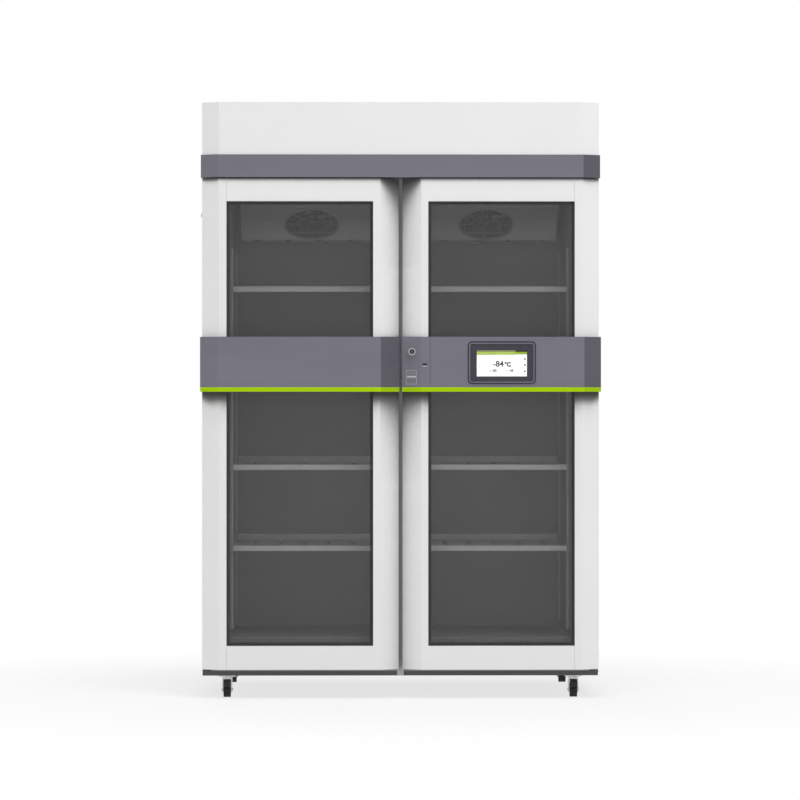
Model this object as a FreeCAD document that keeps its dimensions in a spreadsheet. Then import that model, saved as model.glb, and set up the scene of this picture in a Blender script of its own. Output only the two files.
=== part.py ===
import FreeCAD, Part
import math
import os
import Sketcher

# Two-door pharmacy refrigerator with glass doors, on four casters.
# Millimetres. +Z is up, the doors face -Y, and the origin is at the middle of the footprint.

doc = FreeCAD.newDocument("PharmacyRefrigerator")
sheet = doc.addObject("Spreadsheet::Sheet", "Sizes")
nodes = []


# Sizes that remember the formula they came from

class Size:
    """A length in millimetres with the sheet formula that gives it."""

    def __init__(self, value, formula):
        self.value = float(value)
        self.formula = formula

    def __add__(self, other):
        return combine(self, "+", other, number(self) + number(other))

    def __radd__(self, other):
        return combine(other, "+", self, number(other) + number(self))

    def __sub__(self, other):
        return combine(self, "-", other, number(self) - number(other))

    def __rsub__(self, other):
        return combine(other, "-", self, number(other) - number(self))

    def __mul__(self, other):
        return combine(self, "*", other, number(self) * number(other))

    def __rmul__(self, other):
        return combine(other, "*", self, number(other) * number(self))

    def __truediv__(self, other):
        return combine(self, "/", other, number(self) / number(other))

    def __neg__(self):
        return combine(0, "-", self, -self.value)


def number(size):
    return size.value if isinstance(size, Size) else float(size)


def formula(size):
    return size.formula if isinstance(size, Size) else repr(float(size))


def combine(left, sign, right, value):
    return Size(value, "(%s %s %s)" % (formula(left), sign, formula(right)))


def hypotenuse(run, rise):
    """Length of a slope from its run and rise."""
    square = run * run + rise * rise
    return Size(math.sqrt(square.value), "sqrt(%s)" % square.formula)


def mitre(near, far):
    """Tangent of half the turn between a slope and the side that runs along its near leg."""
    return (hypotenuse(near, far) - near) / far


def size(alias, value):
    """Write one driving dimension into the sheet and return it."""
    size.row += 1
    cell = "B%d" % size.row
    sheet.set("A%d" % size.row, alias.replace("_", " "))
    sheet.set(cell, str(value))
    sheet.setAlias(cell, alias)
    return Size(value, "Sizes." + alias)


size.row = 0

# Driving dimensions: the cabinet
cabinet_width = size("cabinet_width", 1320)
overall_depth = size("overall_depth", 860)
overall_height = size("overall_height", 1980)
skin = size("skin", 2)
flange_width = size("flange_width", 18)
side_wall = size("side_wall", 92)
back_wall = size("back_wall", 80)
floor_wall = size("floor_wall", 113)
ceiling_wall = size("ceiling_wall", 70)
rear_recess = size("rear_recess", 4)
bead_inset = size("bead_inset", 130)
bead_rise = size("bead_rise", 1)
bead_top_gap = size("bead_top_gap", 305)
grille_margin = size("grille_margin", 27)
grille_left = size("grille_left", 120)
louvre_reach = size("louvre_reach", 10)
louvre_rise = size("louvre_rise", 7)
louvre_edge = size("louvre_edge", 1.8)
louvre_inset = size("louvre_inset", 0.5)
caster_height = size("caster_height", 72)
base_height = size("base_height", 15)
base_rim = size("base_rim", 9)
fascia_height = size("fascia_height", 174)
header_band_height = size("header_band_height", 75.5)
header_overhang = size("header_overhang", 4)
mullion_width = size("mullion_width", 108)
mullion_depth = size("mullion_depth", 60)
mullion_rib_width = size("mullion_rib_width", 22)
mullion_rib_depth = size("mullion_rib_depth", 5)
access_drop = size("access_drop", 51.5)
access_setback = size("access_setback", 43)
port_hole = size("port_hole", 7)
port_clearance = size("port_clearance", 0.2)
plug_flange = size("plug_flange", 10.5)
plug_face = size("plug_face", 5.5)
plug_proud = size("plug_proud", 6)

# Driving dimensions: the doors
door_gap = size("door_gap", 13)
door_depth = size("door_depth", 62)
door_bottom_gap = size("door_bottom_gap", 9)
door_top_gap = size("door_top_gap", 3)
outer_facet = size("outer_facet", 57)
inner_facet = size("inner_facet", 62)
facet_rise = size("facet_rise", 32)
hinge_stile_width = size("hinge_stile_width", 82)
inner_stile_width = size("inner_stile_width", 85)
top_rail = size("top_rail", 76.5)
bottom_rail = size("bottom_rail", 79.5)
profile_wall = size("profile_wall", 2.5)
end_block = size("end_block", 20)
glass_recess = size("glass_recess", 8)
pane = size("pane", 4)
spacer_depth = size("spacer_depth", 14)
spacer_sight = size("spacer_sight", 10)
glass_bite = size("glass_bite", 8)
gasket_space = size("gasket_space", 12)
gasket_width = size("gasket_width", 16)
gasket_waist = size("gasket_waist", 8)
gasket_lip = size("gasket_lip", 3)
gasket_inset = size("gasket_inset", 6.5)
gasket_hinge_gap = size("gasket_hinge_gap", 5)
gasket_margin = size("gasket_margin", 8)
seal_gap = size("seal_gap", 0.3)
running_gap = size("running_gap", 0.05)
hinge_inset = size("hinge_inset", 15)
hinge_setback = size("hinge_setback", 16)
hinge_pin = size("hinge_pin", 4)
hinge_boss = size("hinge_boss", 8)
pin_depth = size("pin_depth", 15)
pin_end_gap = size("pin_end_gap", 1)
bracket_plate = size("bracket_plate", 4)
bracket_width = size("bracket_width", 28)
bracket_nose = size("bracket_nose", 10)
bracket_leg = size("bracket_leg", 40)
pin_window = size("pin_window", 6)

# Driving dimensions: the handle bands and what they carry
band_bottom = size("band_bottom", 1018.8)
band_height = size("band_height", 182.2)
stripe_height = size("stripe_height", 15)
band_proud = size("band_proud", 20)
band_overhang = size("band_overhang", 6)
band_gap = size("band_gap", 8)
band_wall = size("band_wall", 2.5)
grip_width = size("grip_width", 130)
grip_start = size("grip_start", 75)
grip_wall = size("grip_wall", 3.5)
display_width = size("display_width", 221)
display_height = size("display_height", 137)
display_centre = size("display_centre", 335)
display_level = size("display_level", 1115)
display_corner = size("display_corner", 12)
bezel_proud = size("bezel_proud", 3)
bezel_recess = size("bezel_recess", 2.1)
bezel_rim = size("bezel_rim", 7)
screen_width = size("screen_width", 168)
screen_height = size("screen_height", 88.5)
screen_drop = size("screen_drop", 2)
screen_thickness = size("screen_thickness", 3)
lock_place = size("lock_place", 37.5)
lock_level = size("lock_level", 1152)
lock_ring = size("lock_ring", 13)
lock_recess = size("lock_recess", 6)
lock_plug = size("lock_plug", 8)
lock_rod = size("lock_rod", 5)
lock_bar_length = size("lock_bar_length", 18)
lock_bar_width = size("lock_bar_width", 8)
lock_bar_thickness = size("lock_bar_thickness", 6)
lock_clearance = size("lock_clearance", 2)
keyway_width = size("keyway_width", 1.6)
keyway_height = size("keyway_height", 9)
socket_place = size("socket_place", 80)
socket_level = size("socket_level", 1109)
socket_width = size("socket_width", 15)
socket_height = size("socket_height", 6.4)
socket_wall = size("socket_wall", 1.5)
socket_depth = size("socket_depth", 12)

# Driving dimensions: shelves and their supports
first_shelf = size("first_shelf", 502)
lower_pitch = size("lower_pitch", 272)
upper_pitch = size("upper_pitch", 299)
shelf_sheet = size("shelf_sheet", 1.5)
shelf_lip = size("shelf_lip", 17)
shelf_return = size("shelf_return", 10)
shelf_stop = size("shelf_stop", 20)
shelf_side_gap = size("shelf_side_gap", 0.3)
shelf_centre_gap = size("shelf_centre_gap", 6)
air_slot = size("air_slot", 12)
air_slot_side = size("air_slot_side", 60)
air_slot_end = size("air_slot_end", 80)
strip_width = size("strip_width", 20)
strip_depth = size("strip_depth", 8)
strip_rise = size("strip_rise", 20)
strip_headroom = size("strip_headroom", 40)
strip_slot = size("strip_slot", 10)
strip_setback = size("strip_setback", 60)
back_strip_inset = size("back_strip_inset", 14)
clip_width = size("clip_width", 14)
clip_height = size("clip_height", 10)
clip_reach = size("clip_reach", 14)

# Driving dimensions: the evaporator unit under the ceiling
cover_half = size("cover_half", 540)
cover_front = size("cover_front", 330)
cover_lip = size("cover_lip", 16)
cover_run = size("cover_run", 180)
cover_drop = size("cover_drop", 102)
cover_slot = size("cover_slot", 20)
cover_slot_end = size("cover_slot_end", 40)
fan_spacing = size("fan_spacing", 596)
fan_opening = size("fan_opening", 92)
guard_overlap = size("guard_overlap", 6)
guard_ring = size("guard_ring", 46)
guard_wire = size("guard_wire", 2)
fan_radius = size("fan_radius", 82)
fan_hub = size("fan_hub", 22)
fan_shaft = size("fan_shaft", 3)
fan_depth = size("fan_depth", 20)
fan_behind = size("fan_behind", 7)
blade_root = size("blade_root", 14)
blade_tip_flat = size("blade_tip_flat", 4)
blade_chord = size("blade_chord", 50)
blade_root_chord = size("blade_root_chord", 28)
blade_rise = size("blade_rise", 7)
blade_camber = size("blade_camber", 3)
blade_sheet = size("blade_sheet", 2)
motor_length = size("motor_length", 28)
motor_arm = size("motor_arm", 15)
coil_half = size("coil_half", 430)
coil_setback = size("coil_setback", 82)
coil_rear_gap = size("coil_rear_gap", 41)
fin_sheet = size("fin_sheet", 1)
coil_tube = size("coil_tube", 8)

# Driving dimensions: the machine compartment on top
compressor_inset = size("compressor_inset", 330)
compressor_setback = size("compressor_setback", 301)
compressor_radius = size("compressor_radius", 84)
compressor_height = size("compressor_height", 176)
can_crown = size("can_crown", 38)
can_joint = size("can_joint", 108)
mount_length = size("mount_length", 176)
mount_width = size("mount_width", 150)
foot_height = size("foot_height", 18)
foot_radius = size("foot_radius", 11)
foot_inset = size("foot_inset", 15)
stub_radius = size("stub_radius", 5)
condenser_inset = size("condenser_inset", 211)
condenser_setback = size("condenser_setback", 361)
condenser_width = size("condenser_width", 360)
condenser_height = size("condenser_height", 180)
condenser_depth = size("condenser_depth", 44)
cooling_fan_radius = size("cooling_fan_radius", 74)
shroud_gap = size("shroud_gap", 4)
shroud_depth = size("shroud_depth", 32)
pipe_radius = size("pipe_radius", 4)
pipe_bend = size("pipe_bend", 18)
control_inset = size("control_inset", 53)
control_setback = size("control_setback", 36)
control_width = size("control_width", 192)
control_depth = size("control_depth", 144)
control_height = size("control_height", 123)
vent_height = size("vent_height", 4)
vent_span = size("vent_span", 45)
module_inset = size("module_inset", 18)
module_width = size("module_width", 77)
module_height = size("module_height", 30)
module_border = size("module_border", 6)
inlet_width = size("inlet_width", 30)
inlet_depth = size("inlet_depth", 18)
inlet_pin = size("inlet_pin", 2)
rocker_width = size("rocker_width", 15)
rocker_pin = size("rocker_pin", 1.5)
rocker_tilt = size("rocker_tilt", 7)

# Driving dimensions: casters
caster_inset = size("caster_inset", 82)
front_caster_setback = size("front_caster_setback", 33)
rear_caster_setback = size("rear_caster_setback", 80)
plate_side = size("plate_side", 56)
plate_corner = size("plate_corner", 5)
race_radius = size("race_radius", 17)
race_height = size("race_height", 1.7)
swivel_gap = size("swivel_gap", 0.3)
swivel_stud = size("swivel_stud", 5)
crown_height = size("crown_height", 6)
crown_heel = size("crown_heel", 14)
crown_nose = size("crown_nose", 6)
wheel_radius = size("wheel_radius", 25)
wheel_width = size("wheel_width", 24)
wheel_trail = size("wheel_trail", 20)
fork_gap = size("fork_gap", 27)
fork_wall = size("fork_wall", 3)
fork_ear = size("fork_ear", 8)
ear_corner = size("ear_corner", 4)
axle_radius = size("axle_radius", 4)
tyre_gap = size("tyre_gap", 1)
pedal_pin = size("pedal_pin", 2)
pedal_width = size("pedal_width", 23)
pedal_heel = size("pedal_heel", 4)
pedal_relief = size("pedal_relief", 1.2)
pedal_reach = size("pedal_reach", 31)
toe_length = size("toe_length", 7)
toe_drop = size("toe_drop", 16)
toe_slope = size("toe_slope", 7)
toe_bevel = size("toe_bevel", 2)

doc.recompute()

# Levels from the front to the back
half_width = cabinet_width / 2
front = -overall_depth / 2
back = overall_depth / 2
band_face = front + bezel_proud
door_face = band_face + band_proud
facet_back = door_face + facet_rise
door_back = door_face + door_depth
cabinet_face = door_back + gasket_space
flange_back = cabinet_face + skin
panel_back = back - rear_recess
panel_front = panel_back - skin
liner_back = back - back_wall
hinge_y = door_back - hinge_setback

# Levels from the floor to the top
base_top = caster_height + base_height
door_bottom = base_top + door_bottom_gap
header_top = overall_height - fascia_height
header_bottom = header_top - header_band_height
door_top = header_bottom - door_top_gap
deck_bottom = header_bottom - skin
liner_floor = base_top + floor_wall
liner_ceiling = header_bottom - ceiling_wall
access_level = liner_ceiling - access_drop
opening_bottom = door_bottom + bottom_rail
opening_top = door_top - top_rail
band_top = band_bottom + band_height
stripe_top = band_bottom + stripe_height
crown_top = caster_height - bracket_plate - race_height - swivel_gap
crown_bottom = crown_top - crown_height

# Places across the width
liner_half = half_width - side_wall
door_inner = door_gap / 2
opening_inner = door_inner + inner_stile_width
opening_outer = half_width - hinge_stile_width
hinge_x = half_width - hinge_inset
mullion_half = mullion_width / 2
SIDES = {"left": -1, "right": 1}
SHELF_TOPS = [first_shelf, first_shelf + lower_pitch]
SHELF_TOPS += [SHELF_TOPS[1] + upper_pitch, SHELF_TOPS[1] + upper_pitch * 2]


# Drawing and feature helpers

def bind(thing, prop, value):
    thing.setExpression(prop, formula(value))


def keep(thing, label):
    """Name a finished sub-part and list it for export."""
    thing.Label = label
    nodes.append(thing)
    return thing


def new_body(name):
    return doc.addObject("PartDesign::Body", name)


def origin_item(body, role):
    return next(item for item in body.Origin.OriginFeatures if item.Role == role)


def new_sketch(body, plane, place):
    """Sketch on one of the body's origin planes, with its own origin moved to place."""
    across, up, out = place
    sketch = body.newObject("Sketcher::SketchObject", body.Name + "Sketch")
    sketch.AttachmentSupport = [(origin_item(body, plane + "_Plane"), "")]
    sketch.MapMode = "FlatFace"
    bind(sketch, "AttachmentOffset.Base.x", across)
    bind(sketch, "AttachmentOffset.Base.y", up)
    bind(sketch, "AttachmentOffset.Base.z", -out if plane == "XZ" else out)
    return sketch


def tie(sketch, kind, geometry, point, value):
    index = sketch.addConstraint(Sketcher.Constraint(kind, -1, 1, geometry, point, number(value)))
    sketch.setExpression("Constraints[%d]" % index, formula(value))


def vector(x, y):
    return FreeCAD.Vector(number(x), number(y), 0)


def polygon(*points):
    """Closed outline through the given corners."""
    def draw(sketch):
        first = sketch.GeometryCount
        count = len(points)
        for index in range(count):
            start = points[index]
            end = points[(index + 1) % count]
            sketch.addGeometry(Part.LineSegment(vector(*start), vector(*end)))
        for index in range(count):
            after = first + (index + 1) % count
            sketch.addConstraint(Sketcher.Constraint("Coincident", first + index, 2, after, 1))
            tie(sketch, "DistanceX", first + index, 1, points[index][0])
            tie(sketch, "DistanceY", first + index, 1, points[index][1])
    return draw


def rectangle(x0, y0, x1, y1):
    return polygon((x0, y0), (x1, y0), (x1, y1), (x0, y1))


def centred(x, y, width, height):
    return rectangle(x - width / 2, y - height / 2, x + width / 2, y + height / 2)


def chamfered(x, y, width, height, corner):
    """Rectangle about a centre with its corners cut off."""
    right = width / 2
    top = height / 2
    return polygon((x - right + corner, y - top), (x + right - corner, y - top),
                   (x + right, y - top + corner), (x + right, y + top - corner),
                   (x + right - corner, y + top), (x - right + corner, y + top),
                   (x - right, y + top - corner), (x - right, y - top + corner))


def circle(x, y, radius):
    def draw(sketch):
        outline = Part.Circle(vector(x, y), FreeCAD.Vector(0, 0, 1), number(radius))
        index = sketch.addGeometry(outline)
        tie(sketch, "DistanceX", index, 3, x)
        tie(sketch, "DistanceY", index, 3, y)
        limit = sketch.addConstraint(Sketcher.Constraint("Radius", index, number(radius)))
        sketch.setExpression("Constraints[%d]" % limit, formula(radius))
    return draw


def rounded(x, y, width, height, radius):
    """Rectangle about a centre with quarter-round corners."""
    def draw(sketch):
        first = sketch.GeometryCount
        quarters = [(1, 1, 0), (-1, 1, 90), (-1, -1, 180), (1, -1, 270)]
        ends = []
        for across, up, turn in quarters:
            centre_x = x + (width / 2 - radius) * across
            centre_y = y + (height / 2 - radius) * up
            start = math.radians(turn)
            ring = Part.Circle(vector(centre_x, centre_y), FreeCAD.Vector(0, 0, 1), number(radius))
            sketch.addGeometry(Part.ArcOfCircle(ring, start, start + math.pi / 2))
            steps = [(radius * math.cos(angle), radius * math.sin(angle))
                     for angle in (start, start + math.pi / 2)]
            ends.append([(centre_x + dx, centre_y + dy) for dx, dy in steps])
            tie(sketch, "DistanceX", sketch.GeometryCount - 1, 3, centre_x)
            tie(sketch, "DistanceY", sketch.GeometryCount - 1, 3, centre_y)
        for index in range(4):
            begin = ends[index][1]
            finish = ends[(index + 1) % 4][0]
            line = sketch.addGeometry(Part.LineSegment(vector(*begin), vector(*finish)))
            after = first + (index + 1) % 4
            sketch.addConstraint(Sketcher.Constraint("Tangent", first + index, 2, line, 1))
            sketch.addConstraint(Sketcher.Constraint("Tangent", line, 2, after, 1))
        for index in range(1, 4):
            sketch.addConstraint(Sketcher.Constraint("Equal", first, first + index))
        limit = sketch.addConstraint(Sketcher.Constraint("Radius", first, number(radius)))
        sketch.setExpression("Constraints[%d]" % limit, formula(radius))
    return draw


def extrude(kind, body, plane, low, high, outlines):
    """Pad or pocket between two levels along the plane's normal."""
    starts_high = (plane == "XZ") == (kind == "Pad")
    level = high if starts_high else low
    sketch = new_sketch(body, plane, (0, 0, level))
    for draw in outlines:
        draw(sketch)
    feature = body.newObject("PartDesign::" + kind, body.Name + kind)
    feature.Profile = sketch
    bind(feature, "Length", high - low)
    sketch.Visibility = False
    return feature


def pad(body, plane, low, high, *outlines):
    return extrude("Pad", body, plane, low, high, outlines)


def pocket(body, plane, low, high, *outlines):
    return extrude("Pocket", body, plane, low, high, outlines)


def revolve(body, plane, place, axis, outline, kind="Revolution"):
    """Full turn of an outline about its sketch's own H or V axis."""
    sketch = new_sketch(body, plane, place)
    outline(sketch)
    feature = body.newObject("PartDesign::" + kind, body.Name + kind)
    feature.Profile = sketch
    feature.ReferenceAxis = (sketch, [axis + "_Axis"])
    feature.Angle = 360
    return feature


def repeat(body, feature, axis, length, count, backwards=False):
    """Copies of a feature along an axis, the last one at the given length."""
    pattern = body.newObject("PartDesign::LinearPattern", body.Name + "Row")
    pattern.Originals = [feature]
    pattern.Direction = (origin_item(body, axis + "_Axis"), [""])
    pattern.Occurrences = count
    pattern.Reversed = backwards
    bind(pattern, "Length", length)
    body.Tip = pattern
    return pattern


def turn_copies(body, count, *features):
    """Copies of the last features around the body's own Z axis."""
    pattern = body.newObject("PartDesign::PolarPattern", body.Name + "Ring")
    pattern.Originals = list(features)
    pattern.Axis = (origin_item(body, "Z_Axis"), [""])
    pattern.Occurrences = count
    pattern.Angle = 360
    body.Tip = pattern
    return pattern


def box(name, low, high):
    """Plain block between two corners."""
    block = doc.addObject("Part::Box", name)
    for index, (prop, axis) in enumerate((("Length", "x"), ("Width", "y"), ("Height", "z"))):
        bind(block, prop, high[index] - low[index])
        bind(block, "Placement.Base." + axis, low[index])
    return block


def set_down(thing, place, axis=(1, 0, 0), angle=None):
    """Move a finished piece to place, turned about axis by an angle given in degrees."""
    if angle is not None:
        turn = FreeCAD.Rotation(FreeCAD.Vector(*axis), number(angle))
        thing.Placement = FreeCAD.Placement(FreeCAD.Vector(0, 0, 0), turn)
        bind(thing, "Placement.Rotation.Angle", angle)
    for name, value in zip("xyz", place):
        bind(thing, "Placement.Base." + name, value)
    return thing


def group(label, things):
    """Several solids of one kind kept together under one name."""
    bundle = doc.addObject("Part::Compound", label)
    bundle.Links = things
    return keep(bundle, label)


def slope_angle(run, rise):
    """Angle of a slope above the level, in degrees."""
    value = math.degrees(math.atan2(number(rise), number(run)))
    return Size(value, "(atan2(%s; %s) / 1 deg)" % (formula(rise), formula(run)))


# Plans of the faceted front pieces

def outer_path(half, face, rear):
    """Plan of a front piece with a facet at both outer ends, from left to right."""
    shoulder = face + facet_rise
    run = outer_facet
    return [(-half, rear), (-half, shoulder), (run - half, face), (half - run, face),
            (half, shoulder), (half, rear)]


def inner_path(half, face, rear, wall):
    """The same plan moved inward by the wall."""
    shoulder = face + facet_rise + wall * mitre(facet_rise, outer_facet)
    run = outer_facet + wall * mitre(outer_facet, facet_rise)
    inside = face + wall
    return [(wall - half, rear), (wall - half, shoulder), (run - half, inside),
            (half - run, inside), (half - wall, shoulder), (half - wall, rear)]


def front_shell(name, half, face, bottom, top, wall):
    """Folded sheet cover, open to the rear, with the facets at its ends."""
    body = new_body(name)
    outer = outer_path(half, face, cabinet_face)
    inner = inner_path(half, face, cabinet_face, wall)
    pad(body, "XY", bottom, top, polygon(*(outer + inner[::-1])))
    pad(body, "XY", top - wall, top, polygon(*outer))
    pad(body, "XY", bottom, bottom + wall, polygon(*outer))
    return body


# Cabinet

def outer_shell():
    """Sides and top as one folded wrapper with flanges at its front and rear edges."""
    body = new_body("outer_shell")

    def arch(width):
        inside = half_width - width
        return polygon((-half_width, base_top), (-half_width, overall_height),
                       (half_width, overall_height), (half_width, base_top),
                       (inside, base_top), (inside, overall_height - width),
                       (-inside, overall_height - width), (-inside, base_top))
    pad(body, "XZ", cabinet_face, back, arch(skin))
    pad(body, "XZ", cabinet_face, flange_back, arch(flange_width))
    pad(body, "XZ", panel_front - skin, panel_front, arch(flange_width))
    pocket(body, "YZ", -half_width, skin - half_width, access_hole())
    keep(body, "outer_shell")


def access_hole():
    """Outline of the test port in the side view."""
    return circle(cabinet_face + access_setback, access_level, port_hole + port_clearance)


def back_panel():
    body = new_body("back_panel")
    edge = half_width - skin - seal_gap
    pad(body, "XZ", panel_front, panel_back, rectangle(-edge, base_top, edge, deck_bottom))
    bead = pad(body, "XZ", panel_back, panel_back + bead_rise,
               rectangle(bead_inset - edge, liner_floor, edge - bead_inset,
                         liner_floor + flange_width))
    repeat(body, bead, "Z", deck_bottom - bead_top_gap - liner_floor, 5)
    keep(body, "back_panel")


def rear_grille():
    """Rear cover of the machine compartment with three banks of slanted louvres."""
    body = new_body("rear_grille")
    edge = half_width - skin - seal_gap
    top = overall_height - skin - seal_gap
    bottom = deck_bottom + seal_gap
    pad(body, "XZ", panel_front, panel_back, rectangle(-edge, bottom, edge, top))
    window_bottom = bottom + grille_margin
    window_top = top - grille_margin
    left = grille_left - edge
    right = edge - grille_margin
    bank = (right - left - flange_width * 2) / 3
    windows = [rectangle(left + (bank + flange_width) * index, window_bottom,
                         left + (bank + flange_width) * index + bank, window_top)
               for index in range(3)]
    centre, inlet_x, switch_x, level = mains_module()
    pocket(body, "XZ", panel_front, panel_back, *windows,
           centred(centre, level, module_width + seal_gap, module_height + seal_gap))
    first = window_bottom + skin
    inside = panel_front - louvre_reach
    outside = panel_back - louvre_inset
    overlap = flange_width / 2
    blade = pad(body, "YZ", left - overlap, right + overlap,
                polygon((outside, first), (outside, first + louvre_edge),
                        (inside, first + louvre_rise + louvre_edge), (inside, first + louvre_rise)))
    repeat(body, blade, "Z", window_top - louvre_rise - skin * 3 - first, 9)
    keep(body, "rear_grille")


def mains_module():
    """Middle of the mains module on the rear grille, and of its inlet and its switch."""
    left = -half_width + skin + seal_gap + module_inset
    inlet_x = left + inlet_width / 2 + module_border
    switch_x = left + module_width - rocker_width / 2 - module_border
    return left + module_width / 2, inlet_x, switch_x, (deck_bottom + overall_height) / 2


def base_frame():
    """Shallow pan under the cabinet with a rim and two cross beams."""
    body = new_body("base_frame")
    pad(body, "XY", caster_height, base_top,
        rectangle(-half_width, cabinet_face, half_width, back))
    pan_top = base_top - skin
    rear_rail = back - rear_caster_setback - plate_side
    front_rail = cabinet_face + front_caster_setback + plate_side
    side_rail = half_width - caster_inset - plate_side
    pocket(body, "XY", caster_height, pan_top,
           rectangle(-side_rail, cabinet_face + base_rim, side_rail, back - base_rim),
           rectangle(-half_width + base_rim, front_rail, -side_rail - base_rim, rear_rail),
           rectangle(side_rail + base_rim, front_rail, half_width - base_rim, rear_rail))
    keep(body, "base_frame")


def inner_liner():
    """Folded box of the storage space, its sealing flange, and a notch for the mullion's foot."""
    body = new_body("inner_liner")
    half = liner_half + skin
    edge = half_width - flange_width
    pad(body, "XZ", cabinet_face, liner_back + skin,
        rectangle(-half, liner_floor - skin, half, liner_ceiling + skin))
    pad(body, "XZ", cabinet_face, flange_back, rectangle(-edge, base_top, edge, deck_bottom))
    pocket(body, "XZ", cabinet_face, liner_back,
           rectangle(-liner_half, liner_floor, liner_half, liner_ceiling))
    pocket(body, "XY", liner_floor - skin, liner_floor,
           rectangle(-mullion_half, cabinet_face, mullion_half, cabinet_face + mullion_depth))
    pocket(body, "YZ", -half, -liner_half, access_hole())
    keep(body, "inner_liner")


def foam_insulation():
    """Foam between the outer shell and the liner, notched for the rear flanges."""
    body = new_body("foam_insulation")
    edge = half_width - skin
    notch = half_width - flange_width
    rear = panel_front - skin
    pad(body, "XY", base_top, deck_bottom,
        polygon((-edge, flange_back), (edge, flange_back), (edge, rear), (notch, rear),
                (notch, panel_front), (-notch, panel_front), (-notch, rear), (-edge, rear)))
    half = liner_half + skin
    pocket(body, "XZ", flange_back, liner_back + skin,
           rectangle(-half, liner_floor - skin, half, liner_ceiling + skin))
    pocket(body, "YZ", -edge, -half, access_hole())
    keep(body, "foam_insulation")


def centre_mullion():
    """Hollow post between the doors, with a raised rib and the slot of the lock."""
    body = new_body("centre_mullion")
    rear = cabinet_face + mullion_depth
    inside = mullion_half - skin
    rib = mullion_rib_width / 2
    pad(body, "XY", liner_floor - skin, liner_ceiling,
        rectangle(-mullion_half, cabinet_face, mullion_half, rear),
        rectangle(-inside, flange_back, inside, rear - skin))
    pad(body, "XY", caster_height, header_bottom,
        rectangle(-rib, cabinet_face - mullion_rib_depth, rib, cabinet_face))
    pocket(body, "XZ", cabinet_face, flange_back,
           centred(lock_place, lock_level, lock_bar_width + lock_clearance * 2,
                   lock_bar_length + lock_clearance * 2))
    keep(body, "centre_mullion")


def header():
    """White fascia and the grey band below it, which hides the upper hinges."""
    fascia = front_shell("header_fascia", half_width, door_face, header_top, overall_height, skin)
    keep(fascia, "header_fascia")
    band = front_shell("header_band", half_width + header_overhang, door_face - header_overhang,
                       header_bottom, header_top, skin)
    pocket(band, "XY", header_bottom, header_bottom + skin,
           circle(-hinge_x, hinge_y, pin_window), circle(hinge_x, hinge_y, pin_window))
    keep(band, "header_band")


def hinge_brackets():
    """Four angle brackets on the cabinet face, each with its pin in the door's end."""
    half = bracket_width / 2
    leg_front = cabinet_face - bracket_plate
    nose = hinge_y - bracket_nose
    brackets = []
    for name, sign in SIDES.items():
        centre = hinge_x * sign
        low = new_body(name + "_lower_hinge")
        plate = base_top + seal_gap
        pad(low, "XY", plate, plate + bracket_plate,
            rectangle(centre - half, nose, centre + half, cabinet_face))
        pad(low, "XY", plate, door_bottom + gasket_margin - skin,
            rectangle(centre - half, leg_front, centre + half, cabinet_face))
        pad(low, "XY", plate, door_bottom + pin_depth, circle(centre, hinge_y, hinge_pin))
        pad(low, "XY", plate, door_bottom - seal_gap, circle(centre, hinge_y, hinge_boss))
        high = new_body(name + "_upper_hinge")
        plate = header_bottom + skin + seal_gap
        pad(high, "XY", plate, plate + bracket_plate,
            rectangle(centre - half, nose, centre + half, cabinet_face))
        pad(high, "XY", plate, plate + bracket_leg,
            rectangle(centre - half, leg_front, centre + half, cabinet_face))
        pad(high, "XY", door_top - pin_depth, plate + bracket_plate,
            circle(centre, hinge_y, hinge_pin))
        brackets += [low, high]
    group("hinge_brackets", brackets)


def test_port_plug():
    """Plug through the left wall that closes the hole for a test probe."""
    body = new_body("test_port_plug")
    outside = half_width + plug_proud
    inside = liner_half - skin
    profile = polygon((-outside, 0), (-outside, plug_face), (-half_width, plug_flange),
                      (-half_width, port_hole), (-liner_half, port_hole),
                      (-liner_half, plug_flange), (-inside, plug_face), (-inside, 0))
    revolve(body, "XZ", (0, access_level, cabinet_face + access_setback), "H", profile)
    keep(body, "test_port_plug")


# Doors

def door_frame(side, sign):
    """Inner stile with the two rails, as hollow profiles grooved for the glass unit."""
    body = new_body(side + "_door_frame")
    top_front = door_face + profile_wall
    inside = door_inner + profile_wall
    stile = polygon((door_inner * sign, door_back), (door_inner * sign, facet_back),
                    ((door_inner + inner_facet) * sign, door_face),
                    (opening_inner * sign, door_face), (opening_inner * sign, door_back))
    pad(body, "XY", door_bottom, door_top, stile)
    rails = [rectangle(opening_inner * sign, door_bottom, opening_outer * sign, opening_bottom),
             rectangle(opening_inner * sign, opening_top, opening_outer * sign, door_top)]
    pad(body, "XZ", door_face, door_back, *rails)
    glass_groove(body, sign)
    shoulder = facet_back + profile_wall * mitre(facet_rise, inner_facet)
    run = inner_facet + profile_wall * mitre(inner_facet, facet_rise)
    groove = opening_inner - glass_bite - profile_wall
    rear = door_back - profile_wall
    pocket(body, "XY", door_bottom + end_block, door_top - end_block,
           polygon((inside * sign, rear), (inside * sign, shoulder),
                   ((door_inner + run) * sign, top_front), (groove * sign, top_front),
                   (groove * sign, rear)))
    near = (opening_inner + profile_wall) * sign
    far = (opening_outer - profile_wall) * sign
    pocket(body, "XZ", top_front, rear,
           rectangle(near, door_bottom + profile_wall, far,
                     opening_bottom - glass_bite - profile_wall),
           rectangle(near, opening_top + glass_bite + profile_wall, far,
                     door_top - profile_wall))
    if sign > 0:
        pocket(body, "XZ", door_face, door_back,
               circle(lock_place, lock_level, lock_rod + lock_clearance))
    keep(body, side + "_door_frame")


def glass_groove(body, sign):
    """Slot in the frame that the edge of the glass unit sits in."""
    low = door_face + glass_recess
    pocket(body, "XZ", low, low + pane * 2 + spacer_depth,
           rectangle((opening_inner - glass_bite) * sign, opening_bottom - glass_bite,
                     (opening_outer + glass_bite) * sign, opening_top + glass_bite))


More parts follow.
